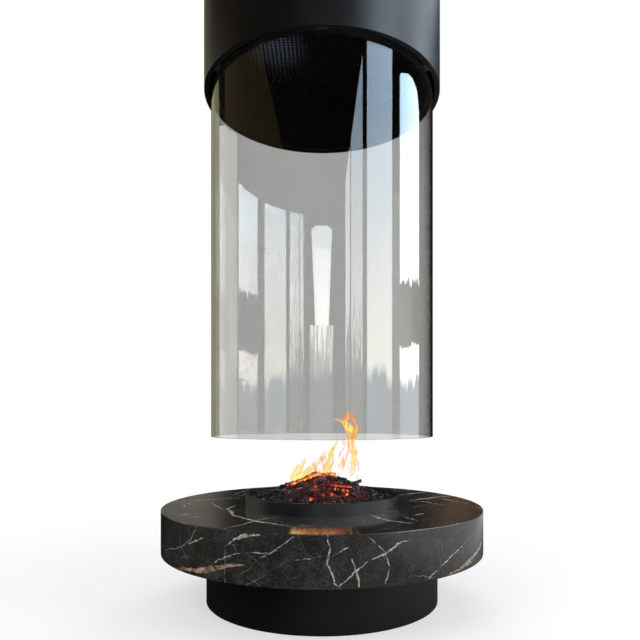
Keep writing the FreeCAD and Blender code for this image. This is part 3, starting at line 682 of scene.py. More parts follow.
def buildHood():
    shape = hoodShape
    steps = shape["steps"]
    turnedPiece("hoodShell", ringBox("hood_shell"), steps, shape["shellEase"], "hood_paint", "hood_shell")
    inner, outer, low, high = ringSpan("hood_bottom_ring")
    wall = outer - shape["ringUpstand"]
    lip = low + shape["ringPlate"]
    corner = [(inner, low), (outer, low), (outer, high), (wall, high), (wall, lip), (inner, lip)]
    turnedPiece("hoodBottomRing", corner, steps, shape["ringEase"], "hood_paint", "hood_bottom_ring",
                material=finishes["inner_paint"])
    inner, outer, low, high = ringSpan("hood_liner")
    spots = [vertex.co for vertex in cadNodes["hood_liner"].data.vertices]
    face = max(spot.x for spot in spots if spot.z > high - shape["nearTop"])
    wall = face - shape["linerWall"]
    lip = low + shape["linerLip"]
    skirt = [(inner, low), (outer, low), (outer, lip), (face, lip), (face, high), (wall, high), (wall, lip),
             (inner, lip)]
    turnedPiece("hoodLiner", skirt, steps, shape["linerEase"], "inner_paint", "hood_liner")


buildHood()

# perforated screen inside the hood
screenShape = dict(pitch=0.0175, hole=0.0066, sides=8, border=0.012, rimSides=160, merge=1e-6, sharp=20)


def buildScreen():
    shape = screenShape
    pitch, hole = shape["pitch"], shape["hole"]
    low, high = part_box("spark_screen")
    radius, bottom, top = high[0], low[2], high[2]
    points, edges, drilled = [], [], set()

    def addLoop(corners):
        start = len(points)
        points.extend(Vector(corner) for corner in corners)
        edges.extend((start + k, start + (k + 1) % len(corners)) for k in range(len(corners)))

    addLoop(roundLoop(shape["rimSides"], radius))
    reach = int(radius / pitch) + 1
    for column in range(-reach, reach + 1):
        for row in range(-reach, reach + 1):
            x, y = column * pitch, row * pitch
            if math.hypot(x, y) + hole > radius - shape["border"]:
                continue
            drilled.add((column, row))
            addLoop(roundLoop(shape["sides"], hole, x, y))
    flat, _, faces, *_ = delaunay_2d_cdt(points, edges, [], 1, shape["merge"])  # 1: keeps the inside
    count = len(flat)
    apothem = hole * math.cos(math.pi / shape["sides"])

    def isOpen(face):
        middle = sum((flat[k] for k in face), Vector((0, 0))) / len(face)
        column, row = round(middle.x / pitch), round(middle.y / pitch)
        away = (middle - Vector((column, row)) * pitch).length
        return (column, row) in drilled and away < apothem

    faces = [face for face in faces if not isOpen(face)]
    spots = [(p.x, p.y, height) for height in (bottom, top) for p in flat]
    used = {}
    for face in faces:
        for k in range(len(face)):
            a, b = face[k], face[(k + 1) % len(face)]
            used.setdefault((min(a, b), max(a, b)), []).append((a, b))
    walls = [(a, b, b + count, a + count) for sides in used.values() if len(sides) == 1 for a, b in sides]
    lid = [tuple(k + count for k in reversed(face)) for face in faces]
    skin = [tuple(face) for face in faces] + lid + walls
    mesh = meshFrom("sparkScreen", spots, skin, shape["sharp"])
    addPiece("sparkScreen", mesh, "inner_paint", "spark_screen", material=paintFinish("screenBlack"))


buildScreen()
print("hood built")

# glass cylinder with polished edges
glassShape = dict(steps=256, ease=0.0016, cuts=4)


def buildGlass():
    shape = glassShape
    glass = turnedPiece("glassCylinder", ringBox("glass_cylinder"), shape["steps"], shape["ease"],
                        "clear_glass", "glass_cylinder", shape["cuts"], body=glassBody)
    glass.visible_shadow = False


buildGlass()

# hearth: stone slabs and plinth drum
hearthShape = dict(steps=256, arris=0.0022, joint=0.0006, plinthEase=0.0015, arrisCuts=4)


def buildHearth():
    shape = hearthShape
    steps, arris = shape["steps"], shape["arris"]
    for name, node in (("stoneTop", "stone_top"), ("stoneSoffit", "stone_soffit")):
        turnedPiece(name, ringBox(node), steps, shape["joint"], "marble", node)
    inner, outer, low, high = ringSpan("stone_apron")
    mitre = ringSpan("stone_top")[1]
    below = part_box("stone_top")[0][2]
    slab = [(inner, low), (outer, low), (outer, high - arris), (outer - arris, high),
            (mitre, high), (mitre, below), (inner, below)]
    sideMarble = marbleFinish("sideMarble", True, sideVeins, sideBands)
    turnedPiece("stoneApron", slab, steps, arris, "marble", "stone_apron", shape["arrisCuts"],
                material=sideMarble)
    drum = ringBox("plinth_shell")
    turnedPiece("plinthDrum", drum, steps, shape["plinthEase"], "plinth_paint", "plinth_shell")


buildHearth()
print("glass and hearth built")

# bed of coals: a mound with single coals on it
bedShape = dict(
    rings=30, steps=140, sink=0.015, edge=0.425, foot=0.94, footGap=0.001, sharp=60, dusty=0.5,
    bumps=[(38, 3.1, 0.006), (110, 8.7, 0.003)],  # how fine, which layer of the noise, how high
    glow=(0.5, 1.2), glowGrain=(42, 1.7),
)
# x, y, reach and level of what glows
hotSpots = [(-0.085, -0.085, 0.05, 0.95), (-0.02, -0.075, 0.06, 0.9), (0.05, -0.07, 0.06, 1.0),
            (0.1, -0.11, 0.055, 0.9), (0.0, 0.05, 0.1, 0.7), (-0.045, -0.2, 0.028, 0.62),
            (0.055, -0.185, 0.03, 0.56), (0.01, -0.15, 0.05, 0.5)]
bedLow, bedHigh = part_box("ember_bed")
bedRadius = bedHigh[0]


def bedHeight(x, y):
    away = min(math.hypot(x, y) / bedRadius, 1.0)
    return bedShape["edge"] + (bedHigh[2] - bedShape["edge"]) * (1 - away ** 2) ** 2


def heatAt(x, y):
    return max(level * math.exp(-((x - spotX) ** 2 + (y - spotY) ** 2) / reach ** 2)
               for spotX, spotY, reach, level in hotSpots)


def clamped(value):
    return max(0.0, min(1.0, value))


def buildMound():
    shape = bedShape
    points, heats = [], []
    rings, steps, bumps = shape["rings"], shape["steps"], shape["bumps"]
    least, swing = shape["glow"]
    fineGlow, glowLayer = shape["glowGrain"]
    for ring in range(1, rings + 1):
        for x, y in roundLoop(steps, bedRadius * ring / rings):
            rough = sum(noise.noise((x * fine, y * fine, layer)) * rise for fine, layer, rise in bumps)
            points.append((x, y, bedHeight(x, y) - shape["sink"] + rough))
            patchy = noise.noise((x * fineGlow, y * fineGlow, glowLayer))
            heats.append(clamped(heatAt(x, y) * (least + swing * patchy)))
    faces = bandFaces(rings, steps)
    centre = len(points)
    points.append((0, 0, bedHeight(0, 0) - shape["sink"]))
    heats.append(heatAt(0, 0))
    floorStart = len(points)
    edge = (rings - 1) * steps
    for x, y, _ in points[edge:edge + steps]:
        points.append((x * shape["foot"], y * shape["foot"], bedLow[2] + shape["footGap"]))
        heats.append(0.0)
    for step in range(steps):
        after = (step + 1) % steps
        faces.append((centre, step, after))
        faces.append((edge + step, floorStart + step, floorStart + after, edge + after))
    faces.append(tuple(reversed(range(floorStart, floorStart + steps))))
    mesh = meshFrom("emberMound", points, faces, shape["sharp"])
    paintOn(mesh, "heat", [(heat, shape["dusty"]) for heat in heats])
    addPiece("emberMound", mesh, "ember", "ember_bed")


# broken lumps, split flat on some sides, larger ones towards the middle
coalShape = dict(
    seed=11, tries=40000, sharp=22, thick=(0.011, 0.02), broad=(0.9, 1.4), near=0.02,
    roll=1.2, pitch=0.3, heading=0.8, cutters=7, cutDepth=(0.45, 0.8), drift=50,
    lumps=(0.3, 1.5), chips=(0.08, 5), warmest=1.25, underGlow=(0.55, 0.9),
)
coalKinds = [
    dict(upTo=150, spread=0.62, room=0.019, long=(0.026, 0.056), flat=0.6, lift=(0.5, 1.5), cuts=2),
    dict(upTo=520, spread=0.95, room=0.0125, long=(0.012, 0.024), flat=0.5, lift=(0.5, 1.5), cuts=2),
    dict(upTo=1420, spread=0.95, room=0.006, long=(0.012, 0.024), size=0.55, flat=0.25, lift=(1.2, 2.6),
         cuts=1),
]


def ballSkin(cuts):
    ball = bmesh.new()
    bmesh.ops.create_icosphere(ball, subdivisions=cuts, radius=1.0)
    dirs = [v.co.copy() for v in ball.verts]
    skin = [tuple(v.index for v in f.verts) for f in ball.faces]
    ball.free()
    return dirs, skin


def coalSpots(dirs, half, cutters, drift):
    # the points of one lump, before it is turned
    shape = coalShape
    lump, lumpGrain = shape["lumps"]
    chip, chipGrain = shape["chips"]
    for direction in dirs:
        spot = direction * (1 + lump * noise.noise(direction * lumpGrain + drift))
        for facing, limit in cutters:
            over = spot.dot(facing) - limit
            if over > 0:
                spot = spot - facing * over
        spot = spot * (1 + chip * noise.noise(direction * chipGrain + drift))
        yield Vector((spot.x * half.x, spot.y * half.y, spot.z * half.z))


def buildCoals():
    shape = coalShape
    dice = random.Random(shape["seed"])
    balls = {cuts: ballSkin(cuts) for cuts in (1, 2)}
    points, faces, paints, centres = [], [], [], []
    near = shape["near"]
    least, more = shape["underGlow"]
    tries = 0
    while len(centres) < coalKinds[-1]["upTo"] and tries < shape["tries"]:
        tries += 1
        kind = next(kind for kind in coalKinds if len(centres) < kind["upTo"])
        radius = bedRadius * kind["spread"] * math.sqrt(dice.random())
        turn = dice.uniform(0, math.tau)
        x, y = radius * math.cos(turn), radius * math.sin(turn)
        if any((x - cx) ** 2 + (y - cy) ** 2 < kind["room"] ** 2 for cx, cy in centres):
            continue
        centres.append((x, y))
        longHalf = dice.uniform(*kind["long"]) / 2 * kind.get("size", 1.0)
        thick = dice.uniform(*shape["thick"]) * kind["flat"]
        half = Vector((longHalf, thick * dice.uniform(*shape["broad"]), thick))
        rise = bedHeight(x * (1 + near), y * (1 + near)) - bedHeight(x * (1 - near), y * (1 - near))
        slope = rise / max(radius * 2 * near, tiny)
        roll = dice.uniform(-shape["roll"], shape["roll"])
        spin = Euler((roll, math.atan(-slope) + dice.gauss(0, shape["pitch"]), 0)).to_matrix()
        heading = Matrix.Rotation(turn + dice.gauss(0, shape["heading"]), 3, "Z")
        cutters = [(Vector((dice.gauss(0, 1), dice.gauss(0, 1), dice.gauss(0, 1))).normalized(),
                    dice.uniform(*shape["cutDepth"])) for _ in range(shape["cutters"])]
        drift = Vector([dice.uniform(0, shape["drift"]) for _ in range(3)])
        lift = bedHeight(x, y) - bedShape["sink"] + thick * dice.uniform(*kind["lift"])
        warm = heatAt(x, y) * (dice.random() ** 3 * shape["warmest"])
        dusty = dice.random()
        start = len(points)
        dirs, skin = balls[kind["cuts"]]
        for spot in coalSpots(dirs, half, cutters, drift):
            local = heading @ (spin @ spot)
            points.append((x + local.x, y + local.y, lift + local.z))
            under = clamped(0.5 - 0.5 * local.z / max(thick, tiny))
            paints.append((clamped(warm * (least + more * under)), dusty))
        faces += [tuple(start + k for k in face) for face in skin]
    mesh = meshFrom("coals", points, faces, shape["sharp"])
    paintOn(mesh, "heat", paints)
    addPiece("coals", mesh, "ember")
    print("bed of", len(centres), "coals")


buildMound()
buildCoals()

# charred logs, each along its solid's own axis
logShape = dict(
    around=40, along=72, seed=5, sharp=40, bend=0.05, body=0.94, drift=90, axisRounds=12,
    flats=4, flatDepth=(0.62, 0.86), flatEdge=0.3,
    ridge=0.12, ridgeGrain=(2.2, 16),
    crack=0.14, crackWide=0.16, crackGrain=(1.6, 60, 4.4),
    rung=0.1, rungWide=0.14, rungGrain=(0.5, 95),
    endTaper=0.22, endFrom=0.42, endReach=0.08, endHollow=0.1,
    streak=0.5, streakGrain=(1.4, 12), crackGlow=0.35, crackGlowWide=0.12, dusty=0.4,
)
# glow, the side that glows (0 front, 90 top), how wide that is, glow of the start and the end
logHeats = {
    "log_left": dict(level=1.0, side=-25, wide=1.0, ends=(0.5, 0.75)),
    "log_top": dict(level=0.95, side=5, wide=1.1, ends=(0.45, 1.0)),
    "log_right": dict(level=0.56, side=10, wide=0.6, ends=(0.4, 0.5)),
    "log_front": dict(level=0.34, side=-70, wide=1.2, ends=(0.1, 0.35)),
    "log_back": dict(level=0.4, side=-60, wide=1.2, ends=(0.2, 0.3)),
    "log_side": dict(level=0.36, side=-60, wide=1.0, ends=(0.2, 0.3)),
}


def logAxis(node):
    points = [vertex.co for vertex in cadNodes[node].data.vertices]
    middle = sum(points, Vector()) / len(points)
    axis = max((point - middle for point in points), key=lambda reach: reach.length).normalized()
    for _ in range(logShape["axisRounds"]):
        axis = sum(((p - middle) * (p - middle).dot(axis) for p in points), Vector()).normalized()
    if axis.x < 0:
        axis = -axis
    offsets = [(point - middle).dot(axis) for point in points]
    radius = max(((p - middle) - axis * (p - middle).dot(axis)).length for p in points)
    return middle + axis * min(offsets), middle + axis * max(offsets), radius


def logSpot(turn, t, length, drift, flats, glow):
    # how far out the bark is at one place, as a share of the radius, and how hot it is there
    shape = logShape
    a, b = math.cos(turn), math.sin(turn)
    size = 1.0
    for flatTurn, flat in flats:  # split wood: flat faces along the log
        size = min(size, flat / max(math.cos(turn - flatTurn), shape["flatEdge"]))
    fine, lengthwise = shape["ridgeGrain"]
    ridge = noise.noise((a * fine + drift, b * fine, t * length * lengthwise))
    fine, lengthwise, layer = shape["crackGrain"]
    crack = abs(noise.noise((turn * fine + drift, t * length * lengthwise, layer)))
    fine, lengthwise = shape["rungGrain"]
    rung = abs(noise.noise((turn * fine, t * length * lengthwise, drift)))
    size *= shape["body"] + shape["ridge"] * ridge
    size -= (shape["crack"] * clamped(1 - crack / shape["crackWide"])
             + shape["rung"] * clamped(1 - rung / shape["rungWide"]))
    low, high = glow["ends"]
    share = (low + (high - low) * t) / max(low, high)
    fine, lengthwise = shape["streakGrain"]
    streak = noise.noise((a * fine + drift, b * fine, t * length * lengthwise))
    facing = math.cos(turn - math.radians(glow["side"]))
    lit = clamped((facing - 1 + glow["wide"]) / glow["wide"] + shape["streak"] * streak)
    heat = glow["level"] * share * lit
    heat += shape["crackGlow"] * glow["level"] * clamped(1 - crack / shape["crackGlowWide"])
    return size, clamped(heat)


def buildLogs():
    shape = logShape
    around, along = shape["around"], shape["along"]
    dice = random.Random(shape["seed"])
    for node, glow in logHeats.items():
        start, end, radius = logAxis(node)
        axis = (end - start).normalized()
        length = (end - start).length
        side = axis.cross(Vector((0, 0, 1))).normalized()
        over = side.cross(axis).normalized()
        drift = dice.uniform(0, shape["drift"])
        flats = [(dice.uniform(0, math.tau), dice.uniform(*shape["flatDepth"]))
                 for _ in range(shape["flats"])]
        points, paints = [], []
        for row in range(along + 1):
            t = row / along
            swing = math.sin(math.pi * t + drift) * radius * shape["bend"] * 2
            core = start + axis * (length * t) + side * swing
            past = max(0.0, abs(t - 0.5) - shape["endFrom"]) / shape["endReach"]
            for column in range(around):
                turn = math.tau * column / around
                size, heat = logSpot(turn, t, length, drift, flats, glow)
                size *= radius * (1 - shape["endTaper"] * past ** 2)
                points.append(core + side * (math.cos(turn) * size) + over * (math.sin(turn) * size))
                paints.append((heat, shape["dusty"]))
        faces = bandFaces(along + 1, around)
        for row, hollow, warm in ((0, shape["endHollow"], glow["ends"][0]),
                                  (along, -shape["endHollow"], glow["ends"][1])):
            edge = [row * around + column for column in range(around)]
            hub = len(points)
            points.append(sum((points[k] for k in edge), Vector()) / around + axis * (radius * hollow))
            paints.append((warm * glow["level"], shape["dusty"]))
            for column in range(around):
                pair = (edge[column], edge[(column + 1) % around])
                faces.append((*pair, hub) if row else (*reversed(pair), hub))
        name = "charred" + "".join(word.capitalize() for word in node.split("_"))
        mesh = meshFrom(name, points, faces, shape["sharp"])
        paintOn(mesh, "heat", paints)
        addPiece(name, mesh, "charred_wood", node)


buildLogs()

# flames: each tongue is a twisted tapering body along a wandering line
flameShape = dict(
    seed=3, around=14, along=40, sharp=80, flat=0.55, drift=60, twist=1.2,
    root=0.35, rootGrow=5, tip=0.015, tipPower=2.4,
    flutter=0.2, flutterRoot=0.3, flutterGrain=4.5, flutterLayers=(0.3, 7.7),
    ripple=0.3, rippleGrain=(1.6, 8),
)
flameTongues = [
    # x, y, z of root, two guides and tip in metres; width at root, middle and shoulder; how solid; how yellow
    ([(-0.125, -0.06, 0.492), (-0.107, -0.055, 0.53), (-0.088, -0.05, 0.56), (-0.06, -0.05, 0.602)],
     (0.03, 0.055, 0.03), 1.0, 0.95),
    ([(-0.115, -0.06, 0.5), (-0.085, -0.058, 0.528), (-0.06, -0.055, 0.545), (-0.03, -0.05, 0.568)],
     (0.05, 0.055, 0.036), 0.95, 0.85),
    ([(-0.07, -0.055, 0.515), (-0.04, -0.05, 0.55), (-0.012, -0.05, 0.58), (0.018, -0.045, 0.638)],
     (0.05, 0.05, 0.026), 0.62, 0.3),
    ([(-0.04, -0.035, 0.515), (-0.005, -0.03, 0.565), (0.01, -0.03, 0.59), (0.012, -0.03, 0.625)],
     (0.05, 0.05, 0.03), 0.4, 0.1),
    ([(0.006, 0.02, 0.515), (0.03, 0.015, 0.56), (0.052, 0.0, 0.62), (0.068, -0.01, 0.69)],
     (0.03, 0.036, 0.022), 0.95, 0.72),
    ([(0.018, 0.015, 0.51), (0.02, 0.01, 0.54), (0.035, 0.01, 0.565), (0.05, 0.0, 0.605)],
     (0.034, 0.045, 0.026), 0.7, 0.6),
    ([(0.06, -0.045, 0.505), (0.092, -0.04, 0.58), (0.105, -0.035, 0.64), (0.092, -0.03, 0.715)],
     (0.03, 0.06, 0.036), 0.52, 0.15),
    ([(0.118, -0.05, 0.505), (0.14, -0.045, 0.575), (0.145, -0.04, 0.64), (0.13, -0.035, 0.725)],
     (0.022, 0.036, 0.026), 0.7, 0.5),
    ([(0.126, -0.052, 0.56), (0.136, -0.05, 0.585), (0.138, -0.05, 0.61), (0.13, -0.048, 0.642)],
     (0.016, 0.04, 0.018), 1.0, 1.0),
    ([(0.128, -0.04, 0.6), (0.122, -0.04, 0.655), (0.112, -0.035, 0.695), (0.112, -0.035, 0.745)],
     (0.016, 0.036, 0.03), 0.85, 0.45),
    ([(0.124, -0.038, 0.69), (0.112, -0.036, 0.735), (0.092, -0.034, 0.748), (0.042, -0.034, 0.768)],
     (0.024, 0.066, 0.042), 1.0, 0.75),
    ([(0.13, -0.034, 0.665), (0.155, -0.032, 0.715), (0.142, -0.03, 0.762), (0.12, -0.03, 0.802)],
     (0.018, 0.03, 0.022), 1.0, 0.18),
    ([(0.098, -0.03, 0.735), (0.108, -0.03, 0.764), (0.116, -0.03, 0.78), (0.114, -0.03, 0.806)],
     (0.024, 0.04, 0.02), 0.95, 0.2),
    ([(0.148, -0.045, 0.498), (0.158, -0.042, 0.545), (0.152, -0.04, 0.585), (0.136, -0.04, 0.63)],
     (0.012, 0.02, 0.014), 0.4, 0.1),
    ([(-0.03, 0.05, 0.5), (-0.005, 0.055, 0.55), (0.01, 0.05, 0.59), (0.03, 0.045, 0.64)],
     (0.05, 0.045, 0.026), 0.35, 0.3),
]


def curveAt(corners, t):
    # a smooth curve from the root to the tip, drawn towards the two guides
    weights = ((1 - t) ** 3, 3 * t * (1 - t) ** 2, 3 * t * t * (1 - t), t ** 3)
    return sum((Vector(corner) * weight for corner, weight in zip(corners, weights)), Vector())


def buildFlames():
    shape = flameShape
    around, along = shape["around"], shape["along"]
    waves, (firstLayer, secondLayer) = shape["flutterGrain"], shape["flutterLayers"]
    fine, lengthwise = shape["rippleGrain"]
    dice = random.Random(shape["seed"])
    for number, (line, widths, solid, warm) in enumerate(flameTongues, 1):
        drift = dice.uniform(0, shape["drift"])
        twist = dice.uniform(-shape["twist"], shape["twist"])
        points, paint = [], []
        root, middle, shoulder = widths
        for row in range(along + 1):
            t = row / along
            width = root * (1 - t) ** 2 + middle * 2 * t * (1 - t) + shoulder * t * t
            width *= min(1.0, shape["root"] + t * shape["rootGrow"])
            width *= max(shape["tip"], 1 - t ** shape["tipPower"])
            sway = shape["flutter"] * middle * (shape["flutterRoot"] + t)
            sideways = Vector((noise.noise((drift, t * waves, firstLayer)),
                               noise.noise((t * waves, drift, secondLayer)), 0))
            core = curveAt(line, t) + sideways * sway
            turned = Matrix.Rotation(twist * t, 3, "Z")
            for column in range(around):
                turn = math.tau * column / around
                wrinkle = noise.noise((math.cos(turn) * fine + drift, math.sin(turn) * fine, t * lengthwise))
                size = width / 2 * (1 + shape["ripple"] * wrinkle)
                spot = Vector((math.cos(turn), math.sin(turn) * shape["flat"], 0)) * size
                points.append(core + turned @ spot)
                paint.append((t, abs(math.cos(turn))))
        faces = bandFaces(along + 1, around)
        faces.append(tuple(reversed(range(around))))
        faces.append(tuple(range(along * around, (along + 1) * around)))
        name = f"flame{number}"
        mesh = meshFrom(name, points, faces, shape["sharp"])
        paintOn(mesh, "flameShape", paint)
        paintOn(mesh, "flameBody", [(solid, warm)] * len(points))
        flame = addPiece(name, mesh, "ember", material=flameMaterial)
        flame.visible_shadow = False


buildFlames()
print("fire built")

# floor, and the far dark room with bright windows that glass, paint and stone mirror
stageLook = dict(
    floorReach=(1.2, 2.6), floorTone=(0.5, 0.5, 0.5), floorLift=0.55, floorRough=0.9, floorDrop=-0.001,
    floorSides=96,
    roomRadius=12.0, roomTop=24.0, roomFoot=-0.03, roomSides=72, cardGap=0.1, cardSides=24,
    farPasses=(3.0, 4.0),
)
plainTints = dict(dark=(0.014, 0.013, 0.012), wall=(1.0, 0.97, 0.86), warm=(1.0, 0.72, 0.34),
                  olive=(0.9, 0.85, 0.5), high=(0.86, 0.93, 1.0))
groundLook = dict(shade=(-0.7, 1.5, 0.02, 0.24), depth=(-0.4, 1.2, 1.0, 0.12), sun=(1.1, 2.0, 0.0, 0.6),
                  daylight=(-0.5, 3.6, 0), daylightReach=(0.06, 0.4, 1.0, 0.0),
                  daylightTint=(0.85, 1.07, 1.45))
backLook = dict(dark=(0.06, 0.045, 0.035), grey=(1.0, 0.92, 0.76), greyEdge=(-3.0, -2.0, 1, 0),
                wood=[(0.3, 0.15, 0.07), (0.86, 0.5, 0.26)], woodEdge=(2.2, 3.2), stretch=(1, 1, 2.4),
                streaks=dict(grain=(1.5, 6.0, 0.7), reach=(0.36, 0.66)))
skyLook = dict(
    low=(1.0, 0.98, 0.9), high=(0.44, 0.6, 0.76), rise=(2.4, 8.0),
    hills=(0.2, 0.235, 0.27), hillEdge=(1.55, 1.9), hillStretch=(1, 1, 0.3), gapHills=0.6,
    ridge=dict(grain=(0.7, 6.0), reach=(*cloudSpan, -0.3, 0.3)),
    twigs=(3.4, 7.0, 0.72), twigStretch=(1, 1, 0.22), twigTint=(0.06, 0.065, 0.06),
    twigEdge=(0.0, 0.03, 0, 0.8), crown=(1.6, 3.6, 0.36, 0.62),
    gapFoot=(2.45, 2.47), gapHead=(3.93, 3.95, 1, 0), gapTint=(0.002, 0.002, 0.002),
    fringe=dict(grain=(1.3, 5.0), reach=(*cloudSpan, -0.16, 0.16)),
)
# rows of left azimuth, right azimuth and height from the foot up; 0 is towards the camera, 90 is on the right
roomCards = dict(
    windowSlim=dict(rows=[(22, 26.5, 0.1), (22, 26.5, 6.2), (26, 26.5, 7.0)],
                    strength=6.5, inner=2.8, kind="trees"),
    windowNear=dict(rows=[(27.5, 39, 0.1), (27.5, 39, 7.2), (38.5, 39, 9.1)],
                    strength=5.6, inner=3.2, kind="trees"),
    windowWide=dict(rows=[(43.5, 71.5, 0.1), (43.5, 71.5, 11.5)], strength=7.6, inner=2.8, kind="sky"),
    windowRound=dict(rows=[(81.5, 111.5, 0.1), (81.5, 111.5, 7.9), (81.5, 108.5, 8.4), (81.5, 100, 8.7),
                           (83, 92, 8.8)], strength=13.0, inner=1.9, kind="gap"),
    windowFar=dict(rows=[(-6.5, 6.5, 2.9), (-10, 9.5, 5.1), (-5, 5, 5.2)], strength=8.0, kind="sky"),
    windowFoot=dict(rows=[(-11.5, 10.5, 0.1), (-11.5, 10.5, 2.9)], strength=7.0, kind="trees"),
    paleWall=dict(rows=[(-124, -91, 0.3), (-124, -91, 7.2), (-124, -104, 7.35), (-124, -114, 7.5)],
                  strength=1.5, kind="wall", ahead=0.3),
    brownWall=dict(rows=[(-112, -37, 6.9), (-112, -59.5, 9.1), (-112, -70, 11.0)],
                   strength=0.13, kind="warm"),
    warmWall=dict(rows=[(-157, -124, 0.3), (-157, -124, 7.6), (-157, -141, 14.0)], strength=0.4, kind="olive",
                  ahead=0.3),
    backWall=dict(rows=[(160, 200, 0.4), (160, 200, 4.6)], strength=0.22, kind="back", ahead=0.2),
    highLight=dict(rows=[(46, 140, 10.6), (46, 140, 19.0)], strength=3.6, kind="high"),
)


def groundColour():
    # the far floor is lighter on the window side, with a patch of daylight behind the object
    look = groundLook
    x, y, _ = splitParts(objectPlace())
    shade = sums("MULTIPLY", span(x, *look["shade"], smooth=True), span(y, *look["depth"]))
    shade = sums("ADD", shade, span(x, *look["sun"], smooth=True))
    away = vectorSum("DISTANCE", objectPlace(), look["daylight"])
    return blendColour(span(away, *look["daylightReach"], smooth=True), shade, look["daylightTint"])


def backColour():
    # dark in the middle, grey on the left, brown wood on the right
    look = backLook
    across = splitParts(objectPlace())[0]
    shade = blendColour(span(across, *look["greyEdge"], smooth=True), look["dark"], look["grey"])
    streaks = patch(objectPlace(look["stretch"]), **look["streaks"])
    wood = blendColour(streaks, *look["wood"])
    return blendColour(span(across, *look["woodEdge"], smooth=True), shade, wood)


def skyColour(kind):
    look = skyLook
    height = splitParts(objectPlace())[2]
    sky = blendColour(span(height, *look["rise"]), look["low"], look["high"])
    ridge = sums("ADD", height, patch(objectPlace(look["hillStretch"]), **look["ridge"]))
    hills = [part * (look["gapHills"] if kind == "gap" else 1) for part in look["hills"]]
    sky = blendColour(span(ridge, *look["hillEdge"]), hills, sky)
    if kind == "trees":
        twigs = cloud(objectPlace(look["twigStretch"]), *look["twigs"])
        twigs = sums("SUBTRACT", twigs, span(height, *look["crown"]))
        sky = blendColour(span(twigs, *look["twigEdge"]), sky, look["twigTint"])
    if kind == "gap":
        fringe = sums("ADD", height, patch(objectPlace(), **look["fringe"]))
        shade = sums("MULTIPLY", span(fringe, *look["gapFoot"]), span(fringe, *look["gapHead"]))
        sky = blendColour(shade, sky, look["gapTint"])
    return sky


def roomMaterial(name, kind, strength=1.0, inner=1.0):
    # shows only after a mirror bounce, so that the straight view through the glass stays white
    material, light = startGlow(name)
    if kind in plainTints:
        colour = plainTints[kind]
    elif kind == "ground":
        colour = groundColour()
    else:
        colour = backColour() if kind == "back" else skyColour(kind)
    plug(light.inputs["Color"], colour)
    path = newNode("LightPath")
    # the far wall of the glass is seen through the near one, so its mirror images start brighter
    level = span(path.outputs["Transmission Depth"], *stageLook["farPasses"], strength, strength * inner)
    plug(light.inputs["Strength"], level)
    mixOut(sums("MINIMUM", path.outputs["Glossy Depth"], 1.0), newNode("BsdfTransparent"), light)
    return material


def placeStage(name, points, faces, material):
    mesh = bpy.data.meshes.new(name)
    mesh.from_pydata(points, [], faces)
    mesh.materials.append(material)
    card = bpy.data.objects.new(name, mesh)
    bpy.context.scene.collection.objects.link(card)
    card.visible_camera = card.visible_diffuse = card.visible_shadow = False


def addCard(name, rows, radius, material, steps):
    points, faces = [], []
    for left, right, height in rows:
        for step in range(steps + 1):
            turn = math.radians(left + (right - left) * step / steps)
            points.append((math.sin(turn) * radius, -math.cos(turn) * radius, height))
    for row in range(len(rows) - 1):
        for step in range(steps):
            here, above = row * (steps + 1) + step, (row + 1) * (steps + 1) + step
            faces.append((here, here + 1, above + 1, above))
    placeStage(name, points, faces, material)


def buildRoom():
    look = stageLook
    radius, sides = look["roomRadius"], look["roomSides"]
    dark = roomMaterial("roomDark", "dark")
    addCard("roomWall", [(0, 360, look["roomFoot"]), (0, 360, look["roomTop"])], radius, dark, sides)
    ring = roundLoop(sides, radius)
    disc = [tuple(range(sides))]
    placeStage("roomLid", [(x, y, look["roomTop"]) for x, y in ring], disc, dark)
    ground = roomMaterial("roomGround", "ground")
    placeStage("roomGround", [(x, y, look["roomFoot"]) for x, y in ring], disc, ground)
    for name, card in roomCards.items():
        material = roomMaterial(name, card["kind"], card["strength"], card.get("inner", 1.0))
        ahead = card.get("ahead", 0.0)
        addCard(name, card["rows"], radius - look["cardGap"] - ahead, material, look["cardSides"])


def buildFloor():
    look = stageLook
    ground = bmesh.new()
    bmesh.ops.create_circle(ground, cap_ends=True, segments=look["floorSides"], radius=look["floorReach"][1])
    mesh = bpy.data.meshes.new("floor")
    ground.to_mesh(mesh)
    ground.free()
    floor = bpy.data.objects.new("floor", mesh)
    floor.location.z = look["floorDrop"]
    bpy.context.scene.collection.objects.link(floor)
    material, shader = startFinish("paleFloor", Base_Color=look["floorTone"], Roughness=look["floorRough"],
                                   Specular_IOR_Level=0.0, Emission_Color=(1, 1, 1))
    path = newNode("LightPath")
    seen = sums("MAXIMUM", path.outputs["Is Camera Ray"], path.outputs["Is Transmission Ray"])
    plug(shader.inputs["Emission Strength"], sums("MULTIPLY", seen, look["floorLift"]))
    far = vectorSum("LENGTH", objectPlace())
    mixOut(span(far, *look["floorReach"], smooth=True), shader, newNode("BsdfTransparent"))
    mesh.materials.append(material)
    floor.visible_glossy = False


buildRoom()
buildFloor()

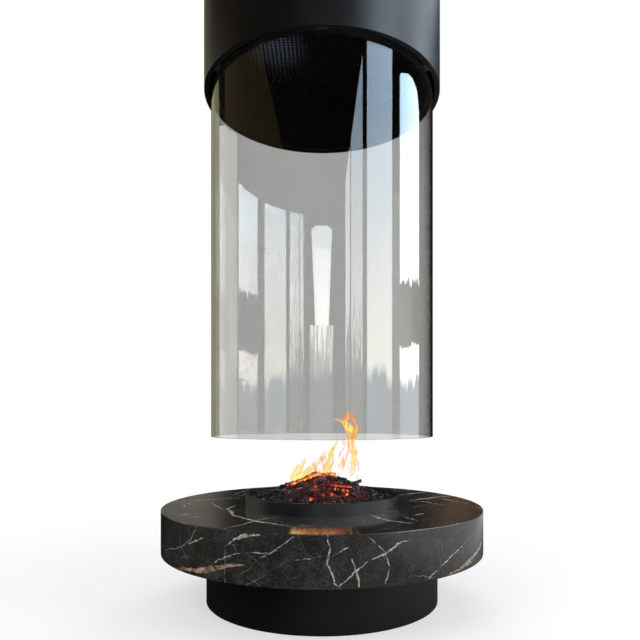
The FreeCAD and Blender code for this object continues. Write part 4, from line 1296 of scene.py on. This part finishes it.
# lamps, sky and camera
lampSet = dict(
    key=dict(place=(-2.6, -3.0, 3.4), aim=(0, 0, 0.9), size=2.4, power=60, colour=(1.0, 0.97, 0.93)),
    fill=dict(place=(3.2, -1.8, 2.2), aim=(0, 0, 1.2), size=2.2, power=64, colour=(0.94, 0.97, 1.0)),
    back=dict(place=(0.6, 3.2, 3.0), aim=(0, 0, 1.0), size=2.0, power=35, colour=(1.0, 1.0, 1.0)),
    fire=dict(place=(-0.02, -0.2, 0.49), aim=(-0.02, -1.0, 0.4), size=0.24, tall=0.06, power=0.014,
              colour=(1.0, 0.34, 0.12)),
)
worldLight = dict(colour=(0.95, 0.97, 1.0), strength=0.55)
cameraView = dict(place=(0, -2.53, 0.7631), sensor=36.0, focal=585.0, frame=640,
                  axisPixel=322.0, horizonPixel=417.76)


def buildLight():
    for name, lamp in lampSet.items():
        light = bpy.data.lights.new(name, "AREA")
        light.size = lamp["size"]
        if "tall" in lamp:  # the glow of the fire, which the polished stone mirrors
            light.shape = "ELLIPSE"
            light.size_y = lamp["tall"]
        light.energy = lamp["power"]
        light.color = lamp["colour"]
        holder = bpy.data.objects.new(name, light)
        holder.location = lamp["place"]
        aim = Vector(lamp["aim"]) - Vector(lamp["place"])
        holder.rotation_euler = aim.to_track_quat("-Z", "Y").to_euler()
        holder.visible_transmission = holder.visible_camera = False
        holder.visible_glossy = "tall" in lamp
        bpy.context.scene.collection.objects.link(holder)
    world = bpy.data.worlds.new("studio")
    world.use_nodes = True
    bpy.context.scene.world = world
    current["tree"] = world.node_tree
    soft = world.node_tree.nodes["Background"]
    plugAll(soft, dict(Color=worldLight["colour"], Strength=worldLight["strength"]))
    white = newNode("Background", Color=(1, 1, 1))
    path = newNode("LightPath")
    seen = sums("MAXIMUM", path.outputs["Is Camera Ray"], path.outputs["Is Glossy Ray"],
                path.outputs["Is Transmission Ray"])
    mixOut(seen, soft, white, "World Output")


def buildCamera():
    view = cameraView
    lens = bpy.data.cameras.new("camera")
    lens.sensor_width = view["sensor"]
    lens.lens = view["focal"] / view["frame"] * view["sensor"]
    lens.shift_x = (view["frame"] / 2 - view["axisPixel"]) / view["frame"]
    lens.shift_y = (view["horizonPixel"] - view["frame"] / 2) / view["frame"]
    camera = bpy.data.objects.new("camera", lens)
    camera.location = view["place"]
    camera.rotation_euler = (math.pi / 2, 0, 0)
    bpy.context.scene.collection.objects.link(camera)
    bpy.context.scene.camera = camera


buildLight()
buildCamera()
bpy.context.scene.view_settings.view_transform = "Standard"
print("stage, lamps and camera set")
